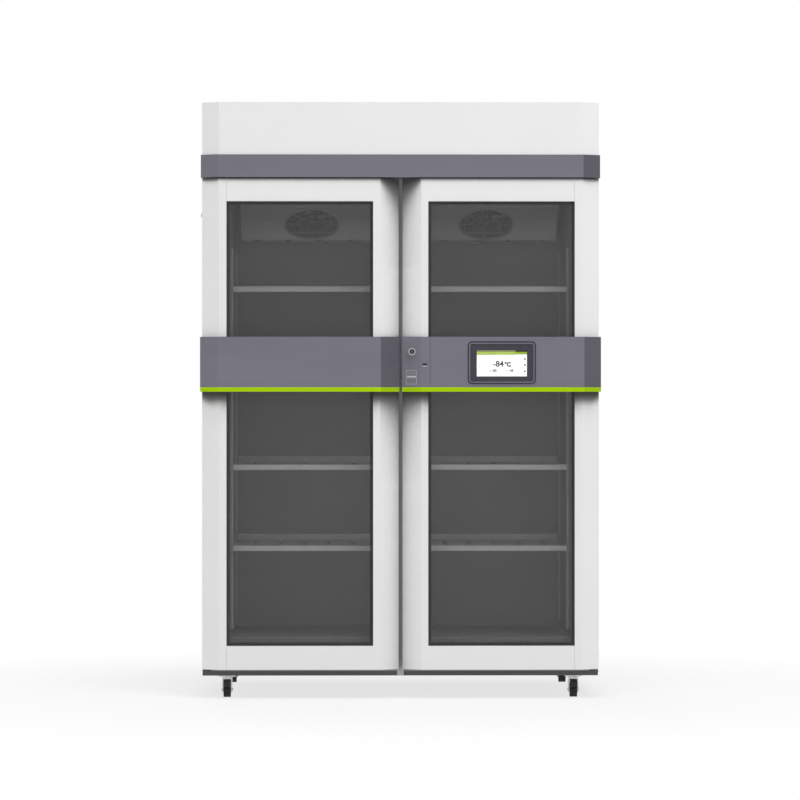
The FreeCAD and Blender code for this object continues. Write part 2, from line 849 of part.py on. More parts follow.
def hinge_stile(side, sign):
    """Hollow stile on the hinge side, with the pin's bore in each end block."""
    body = new_body(side + "_hinge_stile")
    rear = door_back - profile_wall
    inner = opening_outer + glass_bite + profile_wall
    outer = half_width - profile_wall
    pad(body, "XY", door_bottom, door_top,
        polygon((opening_outer * sign, door_back), (half_width * sign, door_back),
                (half_width * sign, facet_back), ((half_width - outer_facet) * sign, door_face),
                (opening_outer * sign, door_face)))
    glass_groove(body, sign)
    shoulder = facet_back + profile_wall * mitre(facet_rise, outer_facet)
    run = outer_facet + profile_wall * mitre(outer_facet, facet_rise)
    pocket(body, "XY", door_bottom + end_block, door_top - end_block,
           polygon((inner * sign, rear), (outer * sign, rear), (outer * sign, shoulder),
                   ((half_width - run) * sign, door_face + profile_wall),
                   (inner * sign, door_face + profile_wall)))
    bore = circle(hinge_x * sign, hinge_y, hinge_pin + running_gap)
    depth = pin_depth + pin_end_gap
    pocket(body, "XY", door_bottom, door_bottom + depth, bore)
    pocket(body, "XY", door_top - depth, door_top, bore)
    keep(body, side + "_hinge_stile")


def glass_unit(side, sign):
    """Two panes with the spacer between them."""
    bite = glass_bite - seal_gap
    edges = ((opening_inner - bite) * sign, opening_bottom - bite,
             (opening_outer + bite) * sign, opening_top + bite)
    outer_face = door_face + glass_recess
    spacer_front = outer_face + pane
    spacer_back = spacer_front + spacer_depth
    panes = []
    for name, low in (("_outer_pane", outer_face), ("_inner_pane", spacer_back)):
        body = new_body(side + name)
        pad(body, "XZ", low, low + pane, rectangle(*edges))
        panes.append(body)
    group(side + "_door_glass", panes)
    spacer = new_body(side + "_glass_spacer")
    pad(spacer, "XZ", spacer_front, spacer_back, rectangle(*edges),
        rectangle((opening_inner + spacer_sight) * sign, opening_bottom + spacer_sight,
                  (opening_outer - spacer_sight) * sign, opening_top - spacer_sight))
    keep(spacer, side + "_glass_spacer")


def door_gasket(side, sign):
    """Magnetic seal around the back of the door, with a waist between its two lips."""
    body = new_body(side + "_door_gasket")
    inner = door_inner + gasket_inset
    outer = hinge_x - gasket_hinge_gap
    bottom = door_bottom + gasket_margin
    top = door_top - gasket_margin
    seat = door_back + gasket_space - seal_gap

    def ring(inset, width):
        return [rectangle((inner + inset) * sign, bottom + inset, (outer - inset) * sign, top - inset),
                rectangle((inner + inset + width) * sign, bottom + inset + width,
                          (outer - inset - width) * sign, top - inset - width)]
    pad(body, "XZ", door_back, seat, *ring((gasket_width - gasket_waist) / 2, gasket_waist))
    pad(body, "XZ", door_back, door_back + gasket_lip, *ring(0, gasket_width))
    pad(body, "XZ", seat - gasket_lip, seat, *ring(0, gasket_width))
    keep(body, side + "_door_gasket")


def band_paths(sign):
    """Outer and inner plan of a handle band, and the door surface that it covers."""
    outer = half_width + band_overhang
    inner = band_gap / 2
    shoulder = band_face + facet_rise
    rear = facet_back + band_overhang
    outside = [(inner, rear), (inner, shoulder), (inner + inner_facet, band_face),
               (outer - outer_facet, band_face), (outer, shoulder), (outer, rear)]
    run_inner = inner_facet + band_wall * mitre(inner_facet, facet_rise)
    run_outer = outer_facet + band_wall * mitre(outer_facet, facet_rise)
    inside = [(inner + band_wall, rear),
              (inner + band_wall, shoulder + band_wall * mitre(facet_rise, inner_facet)),
              (inner + run_inner, band_face + band_wall),
              (outer - run_outer, band_face + band_wall),
              (outer - band_wall, shoulder + band_wall * mitre(facet_rise, outer_facet)),
              (outer - band_wall, rear)]
    door = [(door_inner, rear), (door_inner, facet_back), (door_inner + inner_facet, door_face),
            (half_width - outer_facet, door_face), (half_width, facet_back), (half_width, rear)]
    return [[(x * sign, y) for x, y in path] for path in (outside, inside, door)]


def band_shell(body, sign, bottom, top, cap_low, cap_high):
    """Folded band with its cap, and the return that meets the door's outer side."""
    outside, inside, door = band_paths(sign)
    pad(body, "XY", bottom, top, polygon(*(outside + inside[::-1])))
    pad(body, "XY", cap_low, cap_high, polygon(*(outside + door[::-1])))
    outer = (half_width + band_overhang) * sign
    rear = facet_back + band_overhang
    pad(body, "XY", bottom, top,
        rectangle(half_width * sign, rear - band_wall, outer, rear))


def handle_band(side, sign):
    body = new_body(side + "_handle_band")
    band_shell(body, sign, stripe_top, band_top, band_top - band_wall, band_top)
    if sign > 0:
        pocket(body, "XZ", band_face, band_face + band_wall,
               centred(display_centre, display_level, display_width - bezel_rim * 2,
                       display_height - bezel_rim * 2),
               centred(socket_place, socket_level, socket_width + seal_gap,
                       socket_height + seal_gap))
        pocket(body, "XZ", band_face, band_face + facet_rise,
               circle(lock_place, lock_level, lock_ring + running_gap))
    keep(body, side + "_handle_band")


def grip_stripe(side, sign):
    """Green lower edge of the band, with the finger slot in its underside."""
    body = new_body(side + "_grip_stripe")
    band_shell(body, sign, band_bottom, stripe_top, band_bottom, band_bottom + band_wall)
    pocket(body, "XY", band_bottom, band_bottom + band_wall,
           rectangle(grip_start * sign, band_face + grip_wall,
                     (grip_start + grip_width) * sign, door_face - seal_gap))
    keep(body, side + "_grip_stripe")


def display():
    """Touch display: a rimmed bezel with its case in the band, and the screen in it."""
    bezel = new_body("display_bezel")
    case_back = door_face - band_wall
    floor = front + bezel_recess
    pad(bezel, "XZ", front, band_face,
        rounded(display_centre, display_level, display_width, display_height, display_corner))
    pad(bezel, "XZ", band_face, case_back,
        centred(display_centre, display_level, display_width - bezel_rim * 2 - seal_gap * 2,
                display_height - bezel_rim * 2 - seal_gap * 2))
    pocket(bezel, "XZ", front, floor,
           rounded(display_centre, display_level, display_width - bezel_rim * 2,
                   display_height - bezel_rim * 2, display_corner - bezel_rim))
    screen_level = display_level - screen_drop
    screen_back = floor + screen_thickness
    pocket(bezel, "XZ", floor, screen_back,
           centred(display_centre, screen_level, screen_width + seal_gap, screen_height + seal_gap))
    keep(bezel, "display_bezel")
    screen = new_body("display_screen")
    pad(screen, "XZ", floor - seal_gap, screen_back,
        centred(display_centre, screen_level, screen_width, screen_height))
    keep(screen, "display_screen")


def data_port():
    """Small socket in the band's face for reading out the log."""
    body = new_body("data_port")
    mouth = band_face - seal_gap * 2
    pad(body, "XZ", mouth, band_face + socket_depth,
        centred(socket_place, socket_level, socket_width, socket_height))
    pocket(body, "XZ", mouth, band_face + socket_depth - socket_wall,
           centred(socket_place, socket_level, socket_width - socket_wall * 2,
                   socket_height - socket_wall * 2))
    keep(body, "data_port")


def door_lock():
    """Ring in the band's inner facet, and the key plug whose bar turns in the mullion."""
    centre = lock_place - door_inner - inner_facet
    ring_back = door_face - (centre + lock_ring) * facet_rise / inner_facet - seal_gap
    ring_front = band_face + lock_recess
    ring = new_body("lock_escutcheon")
    pad(ring, "XZ", ring_front, ring_back, circle(lock_place, lock_level, lock_ring),
        circle(lock_place, lock_level, lock_plug + running_gap))
    keep(ring, "lock_escutcheon")
    plug = new_body("lock_cylinder")
    plug_front = ring_front + seal_gap * 2
    bar_front = flange_back + lock_clearance
    pad(plug, "XZ", plug_front, ring_back, circle(lock_place, lock_level, lock_plug))
    pad(plug, "XZ", ring_back, bar_front, circle(lock_place, lock_level, lock_rod))
    pad(plug, "XZ", bar_front, bar_front + lock_bar_thickness,
        centred(lock_place, lock_level, lock_bar_width, lock_bar_length))
    pocket(plug, "XZ", plug_front, plug_front + lock_bar_thickness,
           centred(lock_place, lock_level, keyway_width, keyway_height))
    keep(plug, "lock_cylinder")


# Inside of the cabinet

def shelf_row(index, top):
    """Two folded sheet shelves side by side, with a front lip, air slots and a rear stop."""
    sheet_bottom = top - shelf_sheet
    nose = shelf_nose()
    rear = liner_back - strip_depth - shelf_side_gap
    lip_bottom = top - shelf_lip
    shelves = []
    for name, sign in SIDES.items():
        body = new_body(name + "_shelf_%d" % index)
        near = shelf_centre_gap * sign
        far = (liner_half - strip_depth - shelf_side_gap) * sign
        low = far if sign < 0 else near
        high = near if sign < 0 else far
        pad(body, "YZ", low, high,
            polygon((nose, top), (nose, lip_bottom), (nose + shelf_return, lip_bottom),
                    (nose + shelf_return, lip_bottom + shelf_sheet),
                    (nose + shelf_sheet, lip_bottom + shelf_sheet),
                    (nose + shelf_sheet, sheet_bottom), (rear, sheet_bottom),
                    (rear, top + shelf_stop), (rear - shelf_sheet, top + shelf_stop),
                    (rear - shelf_sheet, top)))
        start = low + air_slot_side
        slots = pocket(body, "XY", sheet_bottom, top,
                       rectangle(start, nose + air_slot_end, start + air_slot,
                                 rear - air_slot_end))
        repeat(body, slots, "X", high - low - air_slot_side * 2 - air_slot, 6)
        shelves.append(body)
    group("shelf_row_%d" % index, shelves)


def shelf_nose():
    """Front of the shelves, behind the mullion and the strips on it."""
    return cabinet_face + mullion_depth + strip_depth + shelf_return


def shelf_supports():
    """Slotted strips on the walls and the clips that the shelves rest on."""
    bottom = liner_floor + strip_rise
    top = liner_ceiling - cover_lip - cover_drop - strip_headroom
    rear_face = liner_back - strip_depth
    post_face = cabinet_face + mullion_depth
    nose = shelf_nose()
    front_y = post_face + strip_setback
    rear_y = liner_back - strip_setback
    half = strip_width / 2
    arm = clip_width / 2
    pieces = []

    def strip(name, low, high, plane, slot_across):
        body = new_body(name)
        pad(body, "XY", bottom, top, rectangle(low[0], low[1], high[0], high[1]))
        first = bottom + strip_width
        span = (low[0], high[0]) if plane == "YZ" else (low[1], high[1])
        hole = pocket(body, plane, span[0], span[1],
                      centred(slot_across, first, strip_slot, strip_slot))
        repeat(body, hole, "Z", top - bottom - strip_width * 2, 7)
        pieces.append(body)

    for name, sign in SIDES.items():
        wall = sorted((liner_half * sign, (liner_half - strip_depth) * sign), key=number)
        for place, y in (("front", front_y), ("rear", rear_y)):
            strip("%s_%s_strip" % (name, place), (wall[0], y - half), (wall[1], y + half), "YZ", y)
        across = (shelf_centre_gap + back_strip_inset) * sign
        strip(name + "_back_strip", (across - half, rear_face), (across + half, liner_back),
              "XZ", across)
        strip(name + "_post_strip", (across - half, post_face),
              (across + half, post_face + strip_depth), "XZ", across)
        for index, shelf_top in enumerate(SHELF_TOPS):
            under = shelf_top - shelf_sheet
            lip = shelf_top - shelf_lip
            wall_x = (liner_half - strip_depth) * sign
            span = sorted((wall_x, wall_x - clip_reach * sign), key=number)
            for place, y in (("front", front_y), ("rear", rear_y)):
                pieces.append(box("%s_%s_clip_%d" % (name, place, index + 1),
                                  (span[0], y - arm, under - clip_height),
                                  (span[1], y + arm, under)))
            pieces.append(box("%s_back_clip_%d" % (name, index + 1),
                              (across - arm, rear_face - clip_reach, under - clip_height),
                              (across + arm, rear_face, under)))
            pieces.append(box("%s_post_clip_%d" % (name, index + 1),
                              (across - arm, post_face + strip_depth, lip - clip_height),
                              (across + arm, nose + shelf_return, lip)))
    group("shelf_supports", pieces)


def cover_places():
    """Front, slope ends and rear of the evaporator cover in the side view."""
    nose = front + cover_front
    shoulder = liner_ceiling - cover_lip
    heel = nose + cover_run
    bottom = shoulder - cover_drop
    return nose, shoulder, heel, bottom


def fan_seat():
    """Middle of the slope, where a fan's axis crosses it."""
    nose, shoulder, heel, bottom = cover_places()
    return (nose + heel) / 2, (shoulder + bottom) / 2


def evaporator_cover():
    """Folded cover under the ceiling with a round opening for each fan in its slope."""
    nose, shoulder, heel, bottom = cover_places()
    rear = liner_back
    top = liner_ceiling
    body = new_body("cover_sheet")
    pad(body, "YZ", -cover_half, cover_half,
        polygon((nose, top), (nose, shoulder), (heel, bottom), (rear, bottom), (rear, top)))
    inner_shoulder = shoulder + skin * mitre(cover_drop, cover_run)
    inner_heel = heel + skin * mitre(cover_run, cover_drop)
    pocket(body, "YZ", skin - cover_half, cover_half - skin,
           polygon((nose + skin, top), (nose + skin, inner_shoulder), (inner_heel, bottom + skin),
                   (rear, bottom + skin), (rear, top)))
    first = cover_slot_end - cover_half
    slot = pocket(body, "XY", bottom, bottom + skin,
                  rectangle(first, heel + cover_slot_end, first + cover_slot, rear - cover_slot))
    repeat(body, slot, "X", cover_half * 2 - cover_slot_end * 2 - cover_slot, 10)
    seat_y, seat_z = fan_seat()
    cutters = []
    for name, sign in SIDES.items():
        cutter = doc.addObject("Part::Cylinder", name + "_fan_opening")
        bind(cutter, "Radius", fan_opening)
        bind(cutter, "Height", fan_depth * 2)
        tilt = slope_angle(cover_run, cover_drop)
        reach = fan_depth / hypotenuse(cover_run, cover_drop)
        set_down(cutter, (fan_spacing / 2 * sign, seat_y - cover_drop * reach,
                          seat_z - cover_run * reach), (1, 0, 0), -tilt)
        cutters.append(cutter)
    tool = doc.addObject("Part::MultiFuse", "fan_openings")
    tool.Shapes = cutters
    cut = doc.addObject("Part::Cut", "evaporator_cover")
    cut.Base = body
    cut.Tool = tool
    keep(cut, "evaporator_cover")


def finned_block(name, low, high, fins, tubes):
    """Row of fins across X on straight tubes, closed by an end plate at each side."""
    body = new_body(name)
    rows = []
    for index in range(tubes):
        level = low[2] + (high[2] - low[2]) * ((index + 0.5) / tubes)
        rows.append(centred((low[1] + high[1]) / 2, level, coil_tube, coil_tube))
    pad(body, "YZ", low[0], high[0], *rows)
    first = pad(body, "YZ", low[0], low[0] + fin_sheet,
                rectangle(low[1], low[2], high[1], high[2]))
    repeat(body, first, "X", high[0] - low[0] - fin_sheet, fins)
    return body


def evaporator_coil():
    nose, shoulder, heel, bottom = cover_places()
    low = (-coil_half, heel + coil_setback, bottom + skin)
    high = (coil_half, liner_back - coil_rear_gap, liner_ceiling - skin)
    keep(finned_block("evaporator_coil", low, high, 14, 2), "evaporator_coil")


def axial_fan(name, radius):
    """Five pitched and folded blades, narrower at the root, on a bored hub about local Z."""
    body = new_body(name)
    low = -fan_depth / 2
    high = fan_depth / 2
    pad(body, "XY", low, high, circle(0, 0, blade_root + skin))
    half = blade_chord / 2
    tip = radius - blade_tip_flat
    blade = pad(body, "YZ", blade_root, tip,
                polygon((-half, -blade_rise), (0, blade_camber), (half, blade_rise),
                        (half, blade_rise + blade_sheet), (0, blade_camber + blade_sheet),
                        (-half, blade_sheet - blade_rise)))
    start = blade_root - skin
    narrow = blade_root_chord / 2
    wide = half + skin
    trim = pocket(body, "XY", low, high,
                  polygon((start, narrow), (tip, half), (tip, wide), (start, wide)),
                  polygon((start, -narrow), (tip, -half), (tip, -wide), (start, -wide)))
    turn_copies(body, 5, blade, trim)
    pad(body, "XY", low, high, circle(0, 0, fan_hub))
    pocket(body, "XY", low, high, circle(0, 0, fan_shaft + running_gap))
    return body


def evaporator_fans():
    """Fans behind the openings of the cover, with their guards and motors."""
    seat_y, seat_z = fan_seat()
    length = hypotenuse(cover_run, cover_drop)
    tilt = -slope_angle(cover_run, cover_drop)
    axis = Size(0, "0")
    mounts = []
    for name, sign in SIDES.items():
        x = fan_spacing / 2 * sign

        def on_axis(distance):
            step = distance / length
            return (x, seat_y + cover_drop * step, seat_z + cover_run * step)
        fan = axial_fan(name + "_evaporator_fan", fan_radius)
        set_down(fan, on_axis(fan_behind + fan_depth / 2), (1, 0, 0), tilt)
        keep(fan, name + "_evaporator_fan")
        guard = new_body(name + "_fan_guard")
        half_wire = guard_wire / 2
        pad(guard, "XY", -skin, axis, circle(0, 0, fan_opening + guard_overlap),
            circle(0, 0, fan_opening - guard_wire))
        pad(guard, "XY", -skin, -half_wire, circle(0, 0, guard_ring + half_wire),
            circle(0, 0, guard_ring - half_wire))
        spoke = pad(guard, "XY", -skin, -half_wire,
                    rectangle(guard_ring, -half_wire, fan_opening - half_wire, half_wire))
        turn_copies(guard, 8, spoke)
        set_down(guard, on_axis(axis), (1, 0, 0), tilt)
        motor = new_body(name + "_fan_motor")
        motor_low = fan_behind + fan_depth + skin
        bar = motor_low + skin
        half_arm = motor_arm / 2
        pad(motor, "XY", motor_low, motor_low + motor_length, circle(0, 0, fan_hub))
        pad(motor, "XY", motor_low, bar,
            rectangle(-fan_opening - skin * 2, -half_arm, fan_opening + skin * 2, half_arm))
        for end in (-1, 1):
            pad(motor, "XY", skin + running_gap, bar,
                centred((fan_opening + skin * 1.5) * end, axis, skin, motor_arm))
        pad(motor, "XY", fan_behind, motor_low, circle(0, 0, fan_shaft))
        set_down(motor, on_axis(axis), (1, 0, 0), tilt)
        mounts += [guard, motor]
    group("evaporator_fan_mounts", mounts)


# Machine compartment

def machine_deck():
    """Floor plate of the machine compartment, lying on the foam."""
    body = new_body("machine_deck")
    edge = half_width - skin - seal_gap
    pad(body, "XY", deck_bottom, header_bottom,
        rectangle(-edge, flange_back, edge, panel_front - skin))
    keep(body, "machine_deck")


def compressor():
    """Hermetic can in two telescoped shells, on a mounting plate with rubber feet."""
    body = new_body("compressor")
    x, y = compressor_place()
    plate = header_bottom + foot_height
    upper = compressor_radius - skin
    shoulder = compressor_height - can_crown
    profile = polygon((0, -skin), (upper - can_crown / 2, -skin), (compressor_radius, can_crown),
                      (compressor_radius, can_joint), (upper, can_joint), (upper, shoulder),
                      (upper - can_crown, compressor_height), (0, compressor_height))
    revolve(body, "XZ", (x, plate, y), "V", profile)
    pad(body, "XY", plate - skin, plate + skin,
        chamfered(x, y, mount_length, mount_width, foot_height))
    feet = [circle(x + (mount_length / 2 - foot_inset) * across,
                   y + (mount_width / 2 - foot_inset) * along, foot_radius)
            for across in (-1, 1) for along in (-1, 1)]
    pad(body, "XY", header_bottom, plate, *feet)
    outlet, inlet = compressor_stubs()
    pad(body, "XY", outlet[2] - can_crown, outlet[2], circle(outlet[0], outlet[1], stub_radius))
    pad(body, "YZ", inlet[0] - can_crown, inlet[0], circle(inlet[1], inlet[2], stub_radius))
    keep(body, "compressor")


def compressor_place():
    return half_width - compressor_inset, back - compressor_setback


def compressor_stubs():
    """Ends of the outlet stub on the can's crown and of the inlet stub on its side."""
    x, y = compressor_place()
    plate = header_bottom + foot_height
    outlet = (x, condenser_places()[1] + condenser_depth / 2, plate + compressor_height + skin)
    inlet = (x + compressor_radius + stub_radius, y, plate + can_joint - foot_height * 2)
    return outlet, inlet


def condenser_places():
    """Left side, front and top of the condenser."""
    return (condenser_inset - half_width, back - condenser_setback,
            header_bottom + condenser_height)


def condenser():
    left, y, top = condenser_places()
    low = (left, y, header_bottom)
    high = (left + condenser_width, y + condenser_depth, top)
    keep(finned_block("condenser", low, high, 16, 2), "condenser")


def condenser_fan_parts():
    """Shroud behind the condenser with its motor on struts, and the fan inside it."""
    left, y, top = condenser_places()
    centre_x = left + condenser_width / 2
    centre_z = (header_bottom + top) / 2
    start = y + condenser_depth
    ring = cooling_fan_radius + shroud_gap
    shroud = new_body("shroud_ring")
    pad(shroud, "XZ", start, start + skin,
        rectangle(left, header_bottom, left + condenser_width, top),
        circle(centre_x, centre_z, ring))
    pad(shroud, "XZ", start, start + shroud_depth,
        circle(centre_x, centre_z, ring + skin), circle(centre_x, centre_z, ring))
    motor = new_body("cooling_fan_motor")
    motor_front = start + shroud_depth - skin
    half_arm = motor_arm / 2
    pad(motor, "XZ", motor_front, motor_front + skin,
        rectangle(centre_x - ring, centre_z - half_arm, centre_x + ring, centre_z + half_arm))
    pad(motor, "XZ", motor_front, motor_front + motor_length, circle(centre_x, centre_z, fan_hub))
    pad(motor, "XZ", motor_front - skin - fan_depth, motor_front,
        circle(centre_x, centre_z, fan_shaft))
    group("condenser_fan_shroud", [shroud, motor])
    fan = axial_fan("condenser_fan", cooling_fan_radius)
    set_down(fan, (centre_x, motor_front - skin - fan_depth / 2, centre_z), (1, 0, 0),
             Size(90, "90"))
    keep(fan, "condenser_fan")


def pipe(name, radius, points, bend):
    """Tube along straight runs with equal bends between them."""
    spots = [FreeCAD.Vector(*[number(value) for value in point]) for point in points]
    edges = []
    start = spots[0]
    for before, corner, after in zip(spots, spots[1:], spots[2:]):
        inward = (before - corner).normalize()
        outward = (after - corner).normalize()
        cut = number(bend) / math.tan(inward.getAngle(outward) / 2)
        first = corner + inward * cut
        last = corner + outward * cut
        bisector = (inward + outward).normalize()
        centre = corner + bisector * math.hypot(cut, number(bend))
        middle = centre - bisector * number(bend)
        edges.append(Part.LineSegment(start, first).toShape())
        edges.append(Part.Arc(first, middle, last).toShape())
        start = last
    edges.append(Part.LineSegment(start, spots[-1]).toShape())
    path = Part.Wire(edges)
    along = (spots[1] - spots[0]).normalize()
    side = FreeCAD.Vector(along.y, along.z, along.x) * number(radius)
    turns = [FreeCAD.Rotation(along, 60 * index) for index in range(7)]
    ring = Part.makePolygon([spots[0] + turn.multVec(side) for turn in turns])
    tube = doc.addObject("Part::Feature", name)
    tube.Shape = path.makePipeShell([ring], True, True)
    return tube


def refrigerant_pipes():
    """Copper lines from the compressor to the condenser and down through the deck."""
    left, y, top = condenser_places()
    outlet, inlet = compressor_stubs()
    right = left + condenser_width
    coil_y = outlet[1]
    coil_z = top - pipe_bend - stub_radius
    ridge = outlet[2] + pipe_bend * 1.5
    drop = outlet[0] - compressor_radius - pipe_bend * 2
    discharge = [outlet, (outlet[0], coil_y, ridge), (drop, coil_y, ridge),
                 (drop, coil_y, coil_z), (right + seal_gap, coil_y, coil_z)]
    turn = inlet[0] + pipe_bend * 1.5
    suction = [inlet, (turn, inlet[1], inlet[2]), (turn, inlet[1], header_bottom)]
    lines = [pipe("discharge_line", pipe_radius, discharge, pipe_bend),
             pipe("suction_line", pipe_radius, suction, pipe_bend)]
    group("refrigerant_pipes", lines)


def control_box():
    """Electrical box on the deck with a lid that overlaps its walls."""
    body = new_body("control_box")
    left = control_inset - half_width
    right = left + control_width
    nose = cabinet_face + control_setback
    rear = nose + control_depth
    top = header_bottom + control_height
    pad(body, "XY", header_bottom, top, rectangle(left, nose, right, rear))
    pad(body, "XY", top - flange_width, top + skin,
        rectangle(left - skin, nose - skin, right + skin, rear + skin))
    first = header_bottom + flange_width
    slot = pocket(body, "YZ", right - skin, right,
                  rectangle(nose + flange_width, first, rear - flange_width, first + vent_height))
    repeat(body, slot, "Z", vent_span, 5)
    keep(body, "control_box")


def mains_parts():
    """Mains module in the rear cover: an appliance inlet beside a rocker switch."""
    centre, inlet_x, switch_x, level = mains_module()
    module = new_body("power_inlet")
    face = panel_back + skin
    well_floor = face - inlet_depth
    pivot_y = panel_back - skin * 1.5
    well = module_height - module_border
    pad(module, "XZ", panel_front - module_height, panel_back,
        centred(centre, level, module_width, module_height))
    pad(module, "XZ", panel_back, face,
        chamfered(centre, level, module_width + module_border * 2, module_height + skin * 2,
                  module_border))
    pocket(module, "XZ", well_floor, face,
           chamfered(inlet_x, level, inlet_width, well - skin, module_border),
           centred(switch_x, level, rocker_width, well + skin))
    for across in (-1, 0, 1):
        pad(module, "XZ", well_floor, face - skin * 2,
            centred(inlet_x + inlet_width / 4 * across, level - skin * (abs(across) * 2 - 1),
                    inlet_pin, inlet_pin * 2.5))
    pad(module, "YZ", switch_x - rocker_width / 2, switch_x + rocker_width / 2,
        circle(pivot_y, level, rocker_pin))
    keep(module, "power_inlet")
    rocker = new_body("rocker_switch")
    half = well / 2 - skin / 2
    crest = skin * 2
    back_face = -skin * 1.5
    side = rocker_width / 2 - seal_gap * 2
    pad(rocker, "YZ", -side, side,
        polygon((back_face, -half / 2), (crest, -half), (crest - louvre_inset, 0), (crest, half),
                (back_face, half / 2)),
        circle(0, 0, rocker_pin + running_gap))
    set_down(rocker, (switch_x, pivot_y, level), (1, 0, 0), -rocker_tilt)
    keep(rocker, "rocker_switch")


# Casters

def caster_place(row, sign):
    x = (half_width - caster_inset) * sign
    if row == "front":
        return x, cabinet_face + front_caster_setback, -1
    return x, back - rear_caster_setback, 1


def caster_plates():
    """Fixed top plates with the swivel studs that the forks turn on."""
    plates = []
    for row in ("front", "rear"):
        for name, sign in SIDES.items():
            x, y, away = caster_place(row, sign)
            body = new_body("%s_%s_plate" % (row, name))
            plate_bottom = caster_height - bracket_plate
            pad(body, "XY", plate_bottom, caster_height,
                chamfered(x, y, plate_side, plate_side, plate_corner))
            pad(body, "XY", plate_bottom - race_height, plate_bottom, circle(x, y, race_radius))
            pad(body, "XY", crown_bottom - swivel_gap * 2, plate_bottom,
                circle(x, y, swivel_stud))
            plates.append(body)
    group("caster_plates", plates)


def caster(row, name, sign):
    """Fork, wheel and, on the front pair, the brake pedal of one caster."""
    x, y, away = caster_place(row, sign)
    label = "%s_%s_" % (row, name)
    axle_y = y + wheel_trail * away
    axle_z = wheel_radius
    inside = fork_gap / 2
    outside = inside + fork_wall
    fork = new_body(label + "fork")
    nose = axle_y + crown_nose * away
    heel = y - crown_heel * away
    pad(fork, "XY", crown_bottom, crown_top, rectangle(x - outside, heel, x + outside, nose))
    shoulder = axle_z + fork_ear
    low = axle_z - fork_ear
    leg = polygon((heel, crown_top), (nose, crown_top), (nose, crown_bottom),
                  (axle_y + fork_ear * away, shoulder), (axle_y + fork_ear * away, low + ear_corner),
                  (axle_y + (fork_ear - ear_corner) * away, low),
                  (axle_y - (fork_ear - ear_corner) * away, low),
                  (axle_y - fork_ear * away, low + ear_corner), (heel, crown_bottom))
    pad(fork, "YZ", x - outside, x - inside, leg)
    pad(fork, "YZ", x + inside, x + outside, leg)
    pad(fork, "YZ", x - outside, x + outside, circle(axle_y, axle_z, axle_radius))
    pocket(fork, "XY", crown_bottom, crown_top, circle(x, y, swivel_stud + running_gap))
    if row == "front":
        pad(fork, "YZ", x - outside, x + outside, circle(axle_y, pedal_levels()[1], pedal_pin))
    keep(fork, label + "fork")

    wheel = new_body(label + "wheel")
    half = wheel_width / 2
    revolve(wheel, "XZ", (x, axle_z, axle_y), "H",
            rectangle(-half, axle_radius + running_gap, half, wheel_radius))
    keep(wheel, label + "wheel")
    if row == "front":
        brake_pedal(label, x, axle_y, away)


def pedal_levels():
    """Underside, pivot and top of the pedal's arm."""
    low = wheel_radius * 2 + tyre_gap
    high = crown_bottom - swivel_gap
    return low, (low + high) / 2, high


def brake_pedal(label, x, axle_y, away):
    """Pedal that turns on the fork's cross pin and presses on the tyre."""
    pedal = new_body(label + "brake_pedal")
    half = pedal_width / 2
    low, pivot_z, high = pedal_levels()
    heel = axle_y - pedal_heel * away
    face = axle_y + pedal_reach * away
    toe = face + toe_length * away
    bevel = toe_bevel * away
    bottom = low - toe_drop
    pad(pedal, "YZ", x - half, x + half,
        polygon((heel, low), (face, low), (face, bottom), (toe - bevel, bottom),
                (toe, bottom + toe_bevel), (toe, high - toe_slope),
                (axle_y + crown_nose * away, high), (axle_y, high), (heel, high - pedal_relief)),
        circle(axle_y, pivot_z, pedal_pin + running_gap))
    keep(pedal, label + "brake_pedal")


outer_shell()
back_panel()
rear_grille()
base_frame()
inner_liner()
foam_insulation()
centre_mullion()
header()
hinge_brackets()
test_port_plug()
for side, sign in SIDES.items():
    door_frame(side, sign)
    hinge_stile(side, sign)
    glass_unit(side, sign)
    door_gasket(side, sign)
    handle_band(side, sign)
    grip_stripe(side, sign)
display()
data_port()
door_lock()
for index, shelf_top in enumerate(SHELF_TOPS):
    shelf_row(index + 1, shelf_top)
shelf_supports()
evaporator_cover()
evaporator_coil()
evaporator_fans()
machine_deck()
compressor()
condenser()
condenser_fan_parts()
refrigerant_pipes()
control_box()
mains_parts()
caster_plates()
for row in ("front", "rear"):
    for side, sign in SIDES.items():
        caster(row, side, sign)

doc.recompute()

# Every object is checked before anything is written
for thing in doc.Objects:
    if "Invalid" in thing.State or "Error" in thing.State:
        raise RuntimeError("%s failed: %s" % (thing.Label, thing.State))
for node in nodes:
    if node.Shape.isNull() or not node.Shape.isValid():
        raise RuntimeError(node.Label + " has no valid shape")

os.makedirs("parts", exist_ok=True)
for node in nodes:
    node.Shape.exportStep("parts/" + node.Label + ".step")
print(len(nodes), "sub-parts written")
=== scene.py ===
"""Looks of the two-door pharmacy refrigerator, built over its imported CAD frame.

Lengths are in metres in the part's frame: +Z up, the doors face -Y, the origin on the floor.
"""
import math

import bmesh
import bpy
from mathutils import Matrix, Vector


